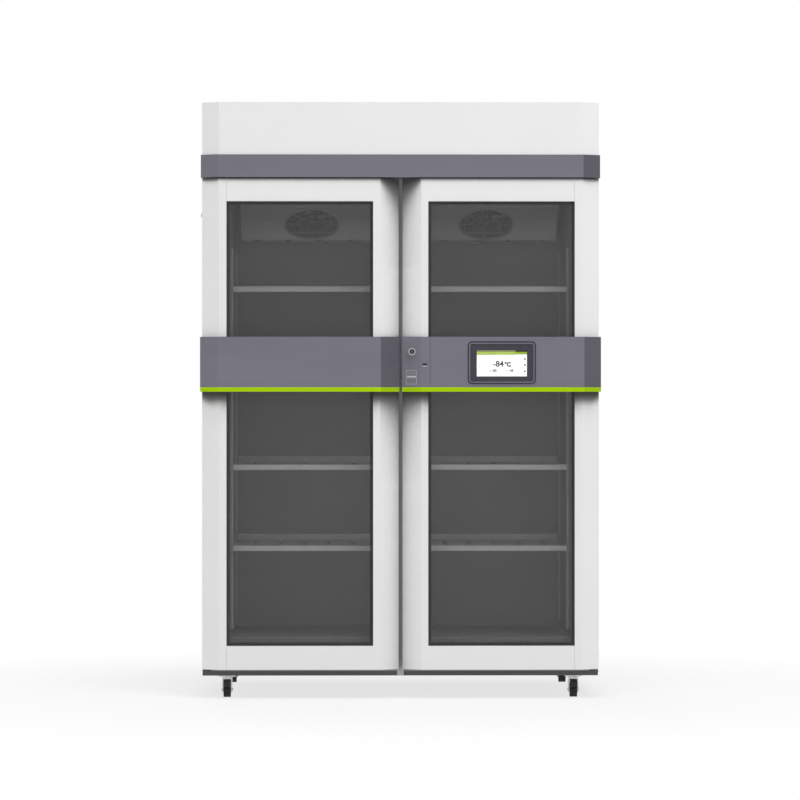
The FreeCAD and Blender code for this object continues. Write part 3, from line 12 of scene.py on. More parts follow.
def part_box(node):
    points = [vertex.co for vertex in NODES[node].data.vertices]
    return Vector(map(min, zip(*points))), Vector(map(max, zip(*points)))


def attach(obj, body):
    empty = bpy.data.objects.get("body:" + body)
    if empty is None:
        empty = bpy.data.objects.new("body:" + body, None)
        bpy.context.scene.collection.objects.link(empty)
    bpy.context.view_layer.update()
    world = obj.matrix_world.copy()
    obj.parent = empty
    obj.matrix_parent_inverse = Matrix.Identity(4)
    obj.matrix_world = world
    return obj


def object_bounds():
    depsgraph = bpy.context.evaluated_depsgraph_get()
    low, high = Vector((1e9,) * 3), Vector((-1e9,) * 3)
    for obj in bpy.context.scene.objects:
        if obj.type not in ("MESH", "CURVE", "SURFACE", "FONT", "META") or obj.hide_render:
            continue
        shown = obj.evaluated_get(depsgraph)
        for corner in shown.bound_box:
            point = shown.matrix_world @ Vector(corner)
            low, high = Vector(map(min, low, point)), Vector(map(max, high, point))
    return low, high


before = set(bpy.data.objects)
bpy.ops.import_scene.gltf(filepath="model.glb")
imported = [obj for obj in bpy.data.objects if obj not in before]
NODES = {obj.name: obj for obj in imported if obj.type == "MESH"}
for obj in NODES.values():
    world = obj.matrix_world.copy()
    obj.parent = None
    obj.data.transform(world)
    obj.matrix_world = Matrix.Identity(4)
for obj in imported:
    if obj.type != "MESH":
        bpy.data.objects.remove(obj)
cad_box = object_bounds()

MM = 0.001
SIDES = {"left": -1, "right": 1}

# The photograph, and the camera that fits it
PHOTO_SIZE = 800
PHOTO_CENTRE_X = 400.8
METRES_PER_PIXEL = 3.3125 * MM
EYE_DISTANCE = 13.0
EYE_X = -0.18
EYE_Z = 0.9914
SENSOR = 36.0


# Colour and node helpers

def colour(code):
    """Linear colour of an sRGB code such as 'E4E4E4'."""
    parts = [int(code[start:start + 2], 16) / 255 for start in (0, 2, 4)]
    linear = [part / 12.92 if part <= 0.04045 else ((part + 0.055) / 1.055) ** 2.4 for part in parts]
    return (*linear, 1.0)


def scaled(tone, share):
    return (tone[0] * share, tone[1] * share, tone[2] * share, tone[3])


def shader_of(material):
    return material.node_tree.nodes["Principled BSDF"]


def new_material(name, base, roughness, metallic=0.0, **sockets):
    material = bpy.data.materials.new(name)
    material.use_nodes = True
    shader = shader_of(material)
    shader.inputs["Base Color"].default_value = base
    shader.inputs["Roughness"].default_value = roughness
    shader.inputs["Metallic"].default_value = metallic
    for label, value in sockets.items():
        shader.inputs[label.replace("_", " ")].default_value = value
    return material


def add_node(owner, kind, **settings):
    """New node in the tree of a material or a world."""
    node = owner.node_tree.nodes.new(kind)
    for label, value in settings.items():
        setattr(node, label, value)
    return node


def link(owner, start, end):
    owner.node_tree.links.new(start, end)


def map_range(owner, source, low, high, start=0.0, end=1.0):
    """Output that runs from low to high while the source runs from start to end."""
    node = add_node(owner, "ShaderNodeMapRange")
    node.inputs["From Min"].default_value = start
    node.inputs["From Max"].default_value = end
    node.inputs["To Min"].default_value = low
    node.inputs["To Max"].default_value = high
    link(owner, source, node.inputs["Value"])
    return node.outputs["Result"]


def scale_base(material, share):
    """Multiply the base colour by a shade between nothing and one."""
    socket = shader_of(material).inputs["Base Color"]
    shade = add_node(material, "ShaderNodeVectorMath", operation="MULTIPLY")
    link(material, socket.links[0].from_socket, shade.inputs[0])
    link(material, share, shade.inputs[1])
    link(material, shade.outputs["Vector"], socket)


def object_noise(material, scale, detail=3.0, stretch=(1, 1, 1)):
    """Noise over the object's own coordinates; a larger stretch value packs it tighter that way."""
    place = add_node(material, "ShaderNodeTexCoord")
    mapping = add_node(material, "ShaderNodeMapping")
    mapping.inputs["Scale"].default_value = stretch
    noise = add_node(material, "ShaderNodeTexNoise")
    noise.inputs["Scale"].default_value = scale
    noise.inputs["Detail"].default_value = detail
    link(material, place.outputs["Object"], mapping.inputs["Vector"])
    link(material, mapping.outputs["Vector"], noise.inputs["Vector"])
    return noise.outputs["Fac"]


def ramp(material, source, low, high, start=0.35, end=0.65):
    node = add_node(material, "ShaderNodeValToRGB")
    node.color_ramp.elements[0].position = start
    node.color_ramp.elements[0].color = low
    node.color_ramp.elements[1].position = end
    node.color_ramp.elements[1].color = high
    link(material, source, node.inputs["Fac"])
    return node.outputs["Color"]


def mottle(material, low, high, scale, stretch=(1, 1, 1), detail=3.0):
    """Slow change of the base colour between two tones."""
    noise = object_noise(material, scale, detail, stretch)
    link(material, ramp(material, noise, low, high), shader_of(material).inputs["Base Color"])


def patchy_gloss(material, low, high, scale, stretch=(1, 1, 1)):
    """Roughness that drifts between two values, as wiped and handled surfaces have."""
    noise = object_noise(material, scale, 4.0, stretch)
    value = ramp(material, noise, (low, low, low, 1), (high, high, high, 1))
    link(material, value, shader_of(material).inputs["Roughness"])


def grain(material, scale, depth, stretch=(1, 1, 1), detail=2.0):
    """Fine relief in the surface; depth in metres."""
    noise = object_noise(material, scale, detail, stretch)
    bump = add_node(material, "ShaderNodeBump")
    bump.inputs["Distance"].default_value = depth
    bump.inputs["Strength"].default_value = 0.6
    link(material, noise, bump.inputs["Height"])
    link(material, bump.outputs["Normal"], shader_of(material).inputs["Normal"])


# Materials

def sky_shade(material, reach, steps):
    """Darken the base colour where a ledge within reach hides the ceiling's light.

    Each step is the open share of the sky and the shade that it gives.
    """
    surface = add_node(material, "ShaderNodeNewGeometry")
    sky = add_node(material, "ShaderNodeVectorMath", operation="MULTIPLY_ADD")
    sky.inputs[1].default_value = (0.5, 0.5, 0.5)
    sky.inputs[2].default_value = (0, 0, 0.87)
    unit = add_node(material, "ShaderNodeVectorMath", operation="NORMALIZE")
    cover = add_node(material, "ShaderNodeAmbientOcclusion", samples=24)
    cover.inputs["Distance"].default_value = reach
    share = add_node(material, "ShaderNodeValToRGB")
    while len(share.color_ramp.elements) < len(steps):
        share.color_ramp.elements.new(0.5)
    for element, (position, level) in zip(share.color_ramp.elements, steps):
        element.position = position
        element.color = (level, level, level, 1)
    link(material, surface.outputs["Normal"], sky.inputs[0])
    link(material, sky.outputs["Vector"], unit.inputs[0])
    link(material, unit.outputs["Vector"], cover.inputs["Normal"])
    link(material, cover.outputs["AO"], share.inputs["Fac"])
    scale_base(material, share.outputs["Color"])
    return material


def ceiling_painted_shade(material, darkest):
    """Painted shade: darken the base colour towards the top of the piece, where the ceiling is close.
    """
    place = add_node(material, "ShaderNodeTexCoord")
    split = add_node(material, "ShaderNodeSeparateXYZ")
    link(material, place.outputs["Generated"], split.inputs[0])
    scale_base(material, map_range(material, split.outputs["Z"], 1.0, darkest, 0.05, 0.6))
    return material


def powder_coat(name, tone, roughness=0.42):
    """Baked paint on sheet metal: faint orange peel and slightly uneven gloss."""
    material = new_material(name, tone, roughness, IOR=1.5)
    mottle(material, scaled(tone, 0.985), tone, 3.0)
    patchy_gloss(material, roughness - 0.04, roughness + 0.05, 5.0)
    grain(material, 420.0, 0.00012)
    return material


def satin_coat_with_painted_side_shade(name, tone, roughness=0.36, right_face_shade=0.57):
    """Coated aluminium with painted shade: the faces that turn to the right get a darker base colour.
    """
    material = new_material(name, tone, roughness, IOR=1.45, Specular_IOR_Level=0.25)
    mottle(material, scaled(tone, 0.96), scaled(tone, 1.03), 2.2, (1, 1, 4))
    surface = add_node(material, "ShaderNodeNewGeometry")
    across = add_node(material, "ShaderNodeSeparateXYZ")
    link(material, surface.outputs["Normal"], across.inputs["Vector"])
    # Painted shade: the base colour darkens on faces turned to the right.
    scale_base(material, map_range(material, across.outputs["X"], 1.0, right_face_shade, end=0.45))
    patchy_gloss(material, roughness - 0.05, roughness + 0.06, 9.0, stretch=(1, 1, 3))
    grain(material, 1500.0, 0.00008)
    return material


def brushed(name, tone, roughness, stretch, metallic=0.85):
    """Metal with fine lines along one direction."""
    material = new_material(name, tone, roughness, metallic=metallic)
    mottle(material, scaled(tone, 0.9), scaled(tone, 1.06), 60.0, stretch=stretch, detail=5.0)
    patchy_gloss(material, roughness - 0.06, roughness + 0.08, 30.0, stretch=stretch)
    grain(material, 300.0, 0.00005, stretch=stretch, detail=4.0)
    return material


def zinc_plate(name, tone, metallic=0.8):
    """Zinc-plated steel with its cloudy crystal patches."""
    material = new_material(name, tone, 0.34, metallic=metallic)
    place = add_node(material, "ShaderNodeTexCoord")
    cells = add_node(material, "ShaderNodeTexVoronoi")
    cells.inputs["Scale"].default_value = 110.0
    link(material, place.outputs["Object"], cells.inputs["Vector"])
    tones = ramp(material, cells.outputs["Color"], scaled(tone, 0.82), scaled(tone, 1.08), 0.1, 0.9)
    link(material, tones, shader_of(material).inputs["Base Color"])
    patchy_gloss(material, 0.28, 0.46, 60.0)
    return material


def moulded(name, tone, roughness=0.5, depth=0.00008):
    """Moulded plastic with a spark-eroded texture."""
    material = new_material(name, tone, roughness, IOR=1.48)
    mottle(material, scaled(tone, 0.9), scaled(tone, 1.1), 12.0)
    patchy_gloss(material, roughness - 0.06, roughness + 0.08, 18.0)
    grain(material, 1800.0, depth)
    return material


def glowing(material, tone, strength):
    """A little light of its own, as a lit page has."""
    shader_of(material).inputs["Emission Color"].default_value = tone
    shader_of(material).inputs["Emission Strength"].default_value = strength
    return material


def rubber(name, tone):
    material = new_material(name, tone, 0.72, IOR=1.5)
    mottle(material, scaled(tone, 0.8), scaled(tone, 1.15), 25.0)
    grain(material, 900.0, 0.00015)
    return material


def foam_block(name, tone):
    material = new_material(name, tone, 0.9)
    mottle(material, scaled(tone, 0.85), tone, 30.0)
    grain(material, 160.0, 0.0006, detail=6.0)
    return material


def tinted_glass(name, tone, alpha):
    """Coated glass that the eye looks through; both faces of each pane add to the tint."""
    material = new_material(name, tone, 0.03, IOR=1.6, Alpha=alpha)
    patchy_gloss(material, 0.02, 0.06, 4.0)
    return material


def printed(name, code, roughness=0.3):
    """Smooth printed or lit layer with almost no relief."""
    return moulded(name, colour(code), roughness, 0.00001)


LEDGE_REACH = 0.3
LEDGE_STEPS = [(0.24, 0.03), (0.47, 0.15), (0.56, 0.45), (0.62, 0.94), (0.65, 1.0)]

WHITE = powder_coat("white_powder_coat", colour("F1F1F1"))
DOOR_WHITE = sky_shade(powder_coat("white_door_coat", colour("F1F1F1")), LEDGE_REACH, LEDGE_STEPS)
# Painted shade: the grey and green coats and the grey trim are darker on faces turned to the right.
GREY_BAND = satin_coat_with_painted_side_shade("grey_band_coat", colour("7A7883"))
HEADER_GREY = satin_coat_with_painted_side_shade("grey_header_coat", colour("787680"))
GREEN = satin_coat_with_painted_side_shade("green_edge_coat", colour("AAD400"), 0.5, 0.85)
TRIM = satin_coat_with_painted_side_shade("grey_trim", colour("C4C4C6"), 0.4, 0.9)
DARK_BASE = powder_coat("dark_base_coat", colour("5C5C5E"), 0.5)
BLACK_CAN = powder_coat("black_can_coat", colour("202022"), 0.35)
LINER = brushed("liner_steel", colour("9A9A9C"), 0.42, (1, 1, 40), metallic=0.35)
SHELF = brushed("shelf_steel", colour("EEEEF0"), 0.38, (40, 1, 1), metallic=0.25)
# Painted shade: the evaporator cover's coat darkens towards its top, under the ceiling.
COVER = ceiling_painted_shade(powder_coat("evaporator_cover_coat", colour("EAEAEC"), 0.45), 0.45)
RAIL = brushed("rail_steel", colour("B8B8BA"), 0.4, (1, 1, 30), metallic=0.6)
ZINC = zinc_plate("zinc_plate", colour("D4D5D8"))
# A near-white copy of the zinc plating: painted light that brightens the casters' forks and plates in
# the base's shade.
LIT_ZINC = zinc_plate("zinc_plate_painted_light", colour("FAFAFA"), 0.3)
CHROME = new_material("satin_chrome", colour("A6A6AC"), 0.24, metallic=1.0)
patchy_gloss(CHROME, 0.2, 0.32, 120.0)
ALUMINIUM = brushed("mill_aluminium", colour("BFC1C4"), 0.36, (1, 50, 1))
SPACER = brushed("dark_spacer", colour("2E2E30"), 0.45, (1, 1, 30), metallic=0.3)
COPPER = brushed("drawn_copper", colour("C77B50"), 0.3, (1, 1, 20))
BLACK_PLASTIC = moulded("black_plastic", colour("070708"))
BEZEL = moulded("bezel_plastic", colour("73717F"), 0.42)
MASK = moulded("display_mask", colour("35333D"), 0.4)
DARK_EDGE = moulded("dark_edge", colour("2C2B34"), 0.5)
SWITCH = moulded("switch_plastic", colour("17171A"), 0.38)
GASKET = rubber("grey_seal", colour("6A6A6C"))
PLUG_RUBBER = rubber("white_plug", colour("D9D9D9"))
TYRE = rubber("tyre_rubber", colour("0B0B0C"))
HUB = moulded("grey_hub", colour("4A4A4C"), 0.5)
FOAM = foam_block("foam", colour("D9CFA0"))
GLASS = tinted_glass("tinted_glass", colour("686666"), 0.14)
SCREEN_GLASS = new_material("screen_glass", colour("17181C"), 0.12, IOR=1.5)
patchy_gloss(SCREEN_GLASS, 0.09, 0.17, 60.0)
SCREEN_WHITE = glowing(printed("screen_white", "FAFBF8"), colour("FFFFFF"), 0.22)
SCREEN_GREEN = printed("screen_green", "B6CE62")
SCREEN_LEAF = printed("screen_leaf", "9DB82C")
SCREEN_OLIVE = printed("screen_olive", "868C62")
SCREEN_DARK = printed("screen_dark", "24261C")
SCREEN_INK = printed("screen_ink", "2E3032")
PRINT = printed("light_print", "9A9AA4", 0.45)
PRINT_BRIGHT = printed("bright_print", "C6C6CC", 0.45)
JOINT = moulded("joint_shadow", colour("BDBDBD"), 0.6)

FINISHES = {
    WHITE: ["outer_shell", "back_panel", "rear_grille", "header_fascia"],
    DOOR_WHITE: ["left_door_frame", "right_door_frame", "left_hinge_stile", "right_hinge_stile"],
    HEADER_GREY: ["header_band"],
    GREY_BAND: ["left_handle_band", "right_handle_band"],
    GREEN: ["left_grip_stripe", "right_grip_stripe"],
    TRIM: ["centre_mullion"],
    DARK_BASE: ["base_frame", "hinge_brackets"],
    BLACK_CAN: ["compressor"],
    LINER: ["inner_liner"],
    SHELF: ["shelf_row_1", "shelf_row_2", "shelf_row_3", "shelf_row_4"],
    COVER: ["evaporator_cover"],
    RAIL: ["shelf_supports", "evaporator_fan_mounts"],
    ZINC: ["machine_deck", "control_box", "condenser_fan_shroud"],
    LIT_ZINC: ["front_left_fork", "front_right_fork", "rear_left_fork", "rear_right_fork",
                  "caster_plates"],
    CHROME: ["lock_escutcheon"],
    ALUMINIUM: ["evaporator_coil", "condenser"],
    SPACER: ["left_glass_spacer", "right_glass_spacer"],
    COPPER: ["refrigerant_pipes"],
    BLACK_PLASTIC: ["left_evaporator_fan", "right_evaporator_fan", "condenser_fan", "lock_cylinder",
                    "front_left_brake_pedal", "front_right_brake_pedal", "data_port"],
    BEZEL: ["display_bezel"],
    SWITCH: ["power_inlet", "rocker_switch"],
    SCREEN_GLASS: ["display_screen"],
    GASKET: ["left_door_gasket", "right_door_gasket"],
    PLUG_RUBBER: ["test_port_plug"],
    TYRE: ["front_left_wheel", "front_right_wheel", "rear_left_wheel", "rear_right_wheel"],
    FOAM: ["foam_insulation"],
    GLASS: ["left_door_glass", "right_door_glass"],
}


def finish_nodes():
    """Give every CAD node its own finish."""
    for material, names in FINISHES.items():
        for name in names:
            node = NODES[name]
            node.data.materials.clear()
            node.data.materials.append(material)


# Mesh helpers

def mesh_piece(name, build, material, body, place=None):
    """Piece from a bmesh builder, placed by a matrix and carried by a body."""
    mesh = bpy.data.meshes.new(name)
    form = bmesh.new()
    build(form)
    bmesh.ops.recalc_face_normals(form, faces=form.faces)
    form.to_mesh(mesh)
    form.free()
    piece = bpy.data.objects.new(name, mesh)
    bpy.context.scene.collection.objects.link(piece)
    if place is not None:
        mesh.transform(place)
    mesh.materials.append(material)
    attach(piece, body)
    return piece


def prism(outline, low, high):
    """Builder of a prism over an X-Z outline, between two Y levels."""
    def build(form):
        near = [form.verts.new((x, low, z)) for x, z in outline]
        far = [form.verts.new((x, high, z)) for x, z in outline]
        form.faces.new(near)
        form.faces.new(far[::-1])
        count = len(outline)
        for index in range(count):
            after = (index + 1) % count
            form.faces.new((near[index], near[after], far[after], far[index]))
    return build


def together(*builders):
    def build(form):
        for builder in builders:
            builder(form)
    return build


def rounded_outline(x, z, width, height, radius, steps=5):
    """Corner points of a rounded rectangle about a centre."""
    points = []
    for across, up, turn in ((1, 1, 0), (-1, 1, 90), (-1, -1, 180), (1, -1, 270)):
        centre_x = x + across * (width / 2 - radius)
        centre_z = z + up * (height / 2 - radius)
        for step in range(steps + 1):
            angle = math.radians(turn + 90 * step / steps)
            points.append((centre_x + radius * math.cos(angle), centre_z + radius * math.sin(angle)))
    return points


def round_outline(x, z, radius, steps=24):
    turns = [math.tau * step / steps for step in range(steps)]
    return [(x + radius * math.cos(turn), z + radius * math.sin(turn)) for turn in turns]


def ring_form(profile, steps=40):
    """Builder of a lathed ring about the local Z axis from (radius, height) pairs."""
    def build(form):
        rows = []
        for step in range(steps):
            turn = math.tau * step / steps
            rows.append([form.verts.new((radius * math.cos(turn), radius * math.sin(turn), height))
                         for radius, height in profile])
        count = len(profile)
        for step in range(steps):
            row = rows[step]
            after = rows[(step + 1) % steps]
            for index in range(count):
                other = (index + 1) % count
                form.faces.new((row[index], row[other], after[other], after[index]))
    return build


def smooth(piece, angle):
    """Shade a piece smooth except across its sharp edges."""
    for face in piece.data.polygons:
        face.use_smooth = True
    piece.data.set_sharp_from_angle(angle=math.radians(angle))
    return piece


# Display graphics, with places in the part's frame

READING_LEVEL = 1110.3 * MM
UNIT_LEVEL = 1108.8 * MM
LIMITS_LEVEL = 1088.5 * MM
KEY_LEVELS = (1127.2 * MM, 1107.5 * MM, 1086.5 * MM)
KEY_X = 411 * MM
PAGE_MARK_X = 260 * MM
PAGE_MARK_LEVEL = 1105 * MM


def display_pieces():
    """The lit page of the touch display, as thin layers on the screen's face."""
    low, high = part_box("display_screen")
    face = low.y
    left = low.x + 1 * MM
    right = high.x - 1 * MM
    bottom = low.z + 1 * MM
    top = high.z - 1 * MM
    strip = 5.5 * MM
    bar = 10 * MM
    thin = 0.12 * MM
    end = right - 38 * MM

    def sheet(name, x0, z0, x1, z1, material, layer):
        near = face - thin * (layer + 1)
        outline = [(x0, z0), (x1, z0), (x1, z1), (x0, z1)]
        return mesh_piece(name, prism(outline, near, near + thin), material, "right_door")

    sheet("display_field", left, bottom, right, top - strip - bar, SCREEN_WHITE, 0)
    sheet("display_status_strip", left, top - strip, end, top, SCREEN_OLIVE, 0)
    sheet("display_status_end", end, top - strip, right, top, SCREEN_DARK, 0)
    sheet("display_title_bar", left, top - strip - bar, end, top - strip, SCREEN_GREEN, 0)
    sheet("display_title_end", end, top - strip - bar * 0.8, right, top - strip, SCREEN_LEAF, 0)
    sheet("display_title_edge", end, top - strip - bar, right, top - strip - bar * 0.8, SCREEN_WHITE, 0)
    digits("display_reading", "-84", 323.5 * MM, READING_LEVEL, 20.5 * MM, face - thin, 0.55 * MM)
    digits("display_unit", "°C", 354 * MM, UNIT_LEVEL, 14.5 * MM, face - thin, 1.1 * MM)
    digits("display_low_reading", "-80", 310 * MM, LIMITS_LEVEL, 8.5 * MM, face - thin, 0.18 * MM)
    digits("display_high_reading", "-88", 366 * MM, LIMITS_LEVEL, 8.5 * MM, face - thin, 0.18 * MM)

    def mark(outline):
        return prism(outline, face - thin * 2, face - thin)

    def arrow(x, size, way):
        foot = LIMITS_LEVEL - size * way
        return mark([(x - size, foot), (x + size, foot), (x, LIMITS_LEVEL + size * way)])

    arrows = together(arrow(298 * MM, 2.2 * MM, 1), arrow(353 * MM, 2.2 * MM, -1))
    mesh_piece("display_arrows", arrows, SCREEN_INK, "right_door")
    keys = together(*[mark(round_outline(KEY_X, level, 3 * MM)) for level in KEY_LEVELS])
    mesh_piece("display_keys", keys, SCREEN_INK, "right_door")
    page_mark = mark(rounded_outline(PAGE_MARK_X, PAGE_MARK_LEVEL, 2 * MM, 7 * MM, 0.9 * MM))
    mesh_piece("display_page_mark", page_mark, PRINT, "right_door")


def digits(name, text, x, z, height, face, weight):
    """Plain numbers in Blender's own letter shapes, thickened and centred on a point of the screen."""
    curve = bpy.data.curves.new(name + "_curve", "FONT")
    curve.body = text
    curve.size = height * 1.3
    curve.offset = weight
    curve.extrude = 0.06 * MM
    curve.align_x = "CENTER"
    curve.align_y = "CENTER"
    holder = bpy.data.objects.new(name + "_text", curve)
    mesh = bpy.data.meshes.new_from_object(holder)
    bpy.data.objects.remove(holder)
    mesh.name = name
    turn = Matrix.Rotation(math.radians(90), 4, "X")
    mesh.transform(Matrix.Translation((x, face - 0.06 * MM, z)) @ turn)
    mesh.materials.clear()
    mesh.materials.append(SCREEN_INK)
    piece = bpy.data.objects.new(name, mesh)
    bpy.context.scene.collection.objects.link(piece)
    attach(piece, "right_door")
    return piece


def frame_form(outer, inner, low, high):
    """Builder of a flat frame between two X-Z outlines with the same count of points."""
    def build(form):
        rows = [[form.verts.new((x, y, z)) for x, z in outline]
                for outline, y in ((outer, low), (inner, low), (inner, high), (outer, high))]
        count = len(outer)
        for row, after in zip(rows, rows[1:] + rows[:1]):
            for index in range(count):
                other = (index + 1) % count
                form.faces.new((row[index], row[other], after[other], after[index]))
    return build


def bezel_pieces():
    """Seal round the bezel, its bright raised rim, and the dark mask round the screen."""
    low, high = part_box("display_bezel")
    screen_low, screen_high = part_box("display_screen")
    centre = (low + high) / 2
    width = high.x - low.x
    height = high.z - low.z
    corner = 12 * MM

    def outline(inset, radius):
        return rounded_outline(centre.x, centre.z, width - inset * 2, height - inset * 2, radius)
    seal_front = low.y + 1.2 * MM
    seal = frame_form(outline(-2.4 * MM, corner + 2.4 * MM), outline(0.1 * MM, corner),
                      seal_front, seal_front + 1.9 * MM)
    mesh_piece("display_seal", seal, DARK_EDGE, "right_door")
    edge = frame_form(outline(0, corner), outline(2.4 * MM, corner - 2.2 * MM),
                      low.y - 0.04 * MM, low.y + 0.3 * MM)
    mesh_piece("display_edge", edge, DARK_EDGE, "right_door")
    groove = frame_form(outline(5.8 * MM, corner - 5 * MM), outline(9.4 * MM, corner - 8 * MM),
                        low.y - 0.04 * MM, low.y + 2.2 * MM)
    mesh_piece("display_groove", groove, DARK_EDGE, "right_door")
    screen_x = (screen_low.x + screen_high.x) / 2
    screen_z = (screen_low.z + screen_high.z) / 2
    window = rounded_outline(screen_x, screen_z, screen_high.x - screen_low.x + 0.4 * MM,
                             screen_high.z - screen_low.z + 0.4 * MM, 0.5 * MM)
    floor = low.y + 2.1 * MM
    mask = frame_form(outline(9.0 * MM, corner - 8 * MM), window, floor - 0.15 * MM, floor + 0.05 * MM)
    mesh_piece("display_mask", mask, MASK, "right_door")


# Joints between each door's stiles and rails

def door_joints():
    """Fine lines where the hinge stiles meet the rails, on the doors' front faces."""
    line = 0.9 * MM
    for side, sign in SIDES.items():
        low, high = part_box(side + "_door_frame")
        glass_low, glass_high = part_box(side + "_glass_spacer")
        edge = low.x if sign < 0 else high.x
        near = min(edge, edge - line * sign)
        far = max(edge, edge - line * sign)
        rails = ((low.z + 1 * MM, glass_low.z + 6 * MM), (glass_high.z - 6 * MM, high.z - 1 * MM))
        strips = [prism([(near, start), (far, start), (far, end), (near, end)],
                        low.y - 0.05 * MM, low.y + 0.4 * MM) for start, end in rails]
        mesh_piece(side + "_door_joints", together(*strips), JOINT, side + "_door")


# Inner facet of the right band: lock details and the card reader's outline

FACET_WIDTH = 62 * MM
FACET_DEPTH = 32 * MM
CARD_X = 36 * MM
CARD_LEVEL = 1067 * MM
BAND_JOINT_X = 97.2 * MM


def facet_matrix(x, z, lift):
    """Frame on the band's inner facet: local X along the facet, local Y into the band."""
    low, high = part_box("right_handle_band")
    start = Vector((low.x, low.y + FACET_DEPTH, 0))
    end = Vector((low.x + FACET_WIDTH, low.y, 0))
    along = (end - start).normalized()
    inward = Vector((-along.y, along.x, 0))
    share = (x - start.x) / (end.x - start.x)
    point = start.lerp(end, share) - inward * lift
    turn = Matrix((along, inward, Vector((0, 0, 1)))).transposed().to_4x4()
    return Matrix.Translation((point.x, point.y, z)) @ turn


def card_reader_mark():
    """Outline of a card with a bar across it, printed on the facet."""
    width = 40 * MM
    height = 48 * MM
    line = 2.6 * MM
    thin = 0.15 * MM

    def stroke(x0, z0, x1, z1):
        return prism([(x0, z0), (x1, z0), (x1, z1), (x0, z1)], -thin, 0)
    half = width / 2
    tall = height / 2
    strokes = [stroke(-half, -tall, -half + line, tall), stroke(half - line, -tall, half, tall),
               stroke(-half + line, tall - line, half - line, tall),
               stroke(-half + line, -tall, half - line, -tall + line),
               stroke(-half + line, -line * 1.2, half - line, -line * 0.4)]
    strokes += [stroke(offset - line / 3, line * 3, offset + line / 3, tall - line * 2.2)
                for offset in (-half * 0.5, -half * 0.17, half * 0.17, half * 0.5)]
    bar = stroke(-half + line * 1.2, 0, half - line * 1.6, line * 1.7)
    place = facet_matrix(CARD_X, CARD_LEVEL, 0.02 * MM)
    mesh_piece("card_reader_bar", bar, PRINT_BRIGHT, "right_door", place)
    mesh_piece("card_reader_mark", together(*strokes), PRINT, "right_door", place)


def band_details():
    """Joint line beside the facet, and a bright strip under the data socket: a painted highlight on the
    socket's lower edge.
    """
    low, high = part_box("right_handle_band")
    face = low.y
    joint_end = BAND_JOINT_X + 1 * MM
    line = [(BAND_JOINT_X, low.z + 1 * MM), (joint_end, low.z + 1 * MM),
            (joint_end, high.z - 1 * MM), (BAND_JOINT_X, high.z - 1 * MM)]
    mesh_piece("band_joint", prism(line, face - 0.08 * MM, face + 0.5 * MM), DARK_EDGE,
               "right_door")
    port_low, port_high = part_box("data_port")
    port = (port_low + port_high) / 2
    # Painted highlight: the bright strip under the socket.
    highlight_strip = rounded_outline(port.x, port_low.z - 1.9 * MM, 16 * MM, 3 * MM, 0.9 * MM)
    mesh_piece("data_port_painted_highlight", prism(highlight_strip, face - 0.4 * MM, face + 0.5 * MM), PRINT_BRIGHT,
               "right_door")
    tongue = rounded_outline(port.x, port.z + 0.6 * MM, 10 * MM, 1.4 * MM, 0.4 * MM)
    mesh_piece("data_port_tongue", prism(tongue, port_low.y + 2 * MM, port_high.y - 2 * MM),
               BLACK_PLASTIC, "right_door")


def lock_pieces():
    """Rolled rim on the lock's ring, and the key slot's bright shutter."""
    low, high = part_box("lock_escutcheon")
    centre = (low + high) / 2
    outer = (high.x - low.x) / 2
    turn = Matrix.Rotation(math.radians(90), 4, "X")
    place = Matrix.Translation((centre.x, low.y, centre.z)) @ turn
    rim = 1.6 * MM
    profile = [(outer - 2.2 * MM + rim * math.cos(angle), rim * 0.6 * math.sin(angle))
               for angle in (math.tau * step / 10 for step in range(10))]
    smooth(mesh_piece("lock_rim", ring_form(profile), CHROME, "right_door", place), 60)
    plug_low, plug_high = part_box("lock_cylinder")
    slot = prism(rounded_outline(centre.x, centre.z, 2.4 * MM, 8 * MM, 1.1 * MM),
                 plug_low.y + 1.0 * MM, plug_low.y + 4 * MM)
    mesh_piece("lock_shutter", slot, CHROME, "lock")


# Screws and small fasteners

def screw_head(radius, height):
    """Pan head with a round recess, lathed."""
    tip = 0.0001 * MM
    profile = [(tip, 0), (radius, 0), (radius, height * 0.35), (radius * 0.8, height * 0.8),
               (radius * 0.45, height), (radius * 0.42, height * 0.55), (tip, height * 0.5)]
    return ring_form(profile, 14)


def screws(name, points, outward, radius, material, body):
    """One piece with a screw head at each point, facing outward."""
    turn = Vector((0, 0, 1)).rotation_difference(Vector(outward)).to_matrix().to_4x4()

    def build(form):
        for point in points:
            before = len(form.verts)
            screw_head(radius, radius * 0.6)(form)
            form.verts.ensure_lookup_table()
            place = Matrix.Translation(point) @ turn
            for vert in form.verts[before:]:
                vert.co = place @ vert.co
    return smooth(mesh_piece(name, build, material, body), 50)


def caster_pieces():
    """Hub discs on the wheels, and the axle's bolt head and nut on the fork's sides."""
    sideways = Matrix.Rotation(math.radians(90), 4, "Y")
    for row in ("front", "rear"):
        for side in SIDES:
            label = row + "_" + side + "_"
            low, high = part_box(label + "wheel")
            centre = (low + high) / 2
            fork_low, fork_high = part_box(label + "fork")
            half = (high.x - low.x) / 2
            face = half + 0.4 * MM
            rim = half - 1 * MM
            profile = [(5 * MM, -face), (13 * MM, -face), (14 * MM, -rim),
                       (14 * MM, rim), (13 * MM, face), (5 * MM, face)]
            place = Matrix.Translation(centre) @ sideways
            smooth(mesh_piece(label + "hub", ring_form(profile, 28), HUB, label + "wheel",
                              place), 40)
            for part, x, way in (("axle_head", fork_high.x, 1), ("axle_nut", fork_low.x, -1)):
                screws(label + part, [(x, centre.y, centre.z)], (way, 0, 0), 5 * MM, ZINC,
                       label + "caster")


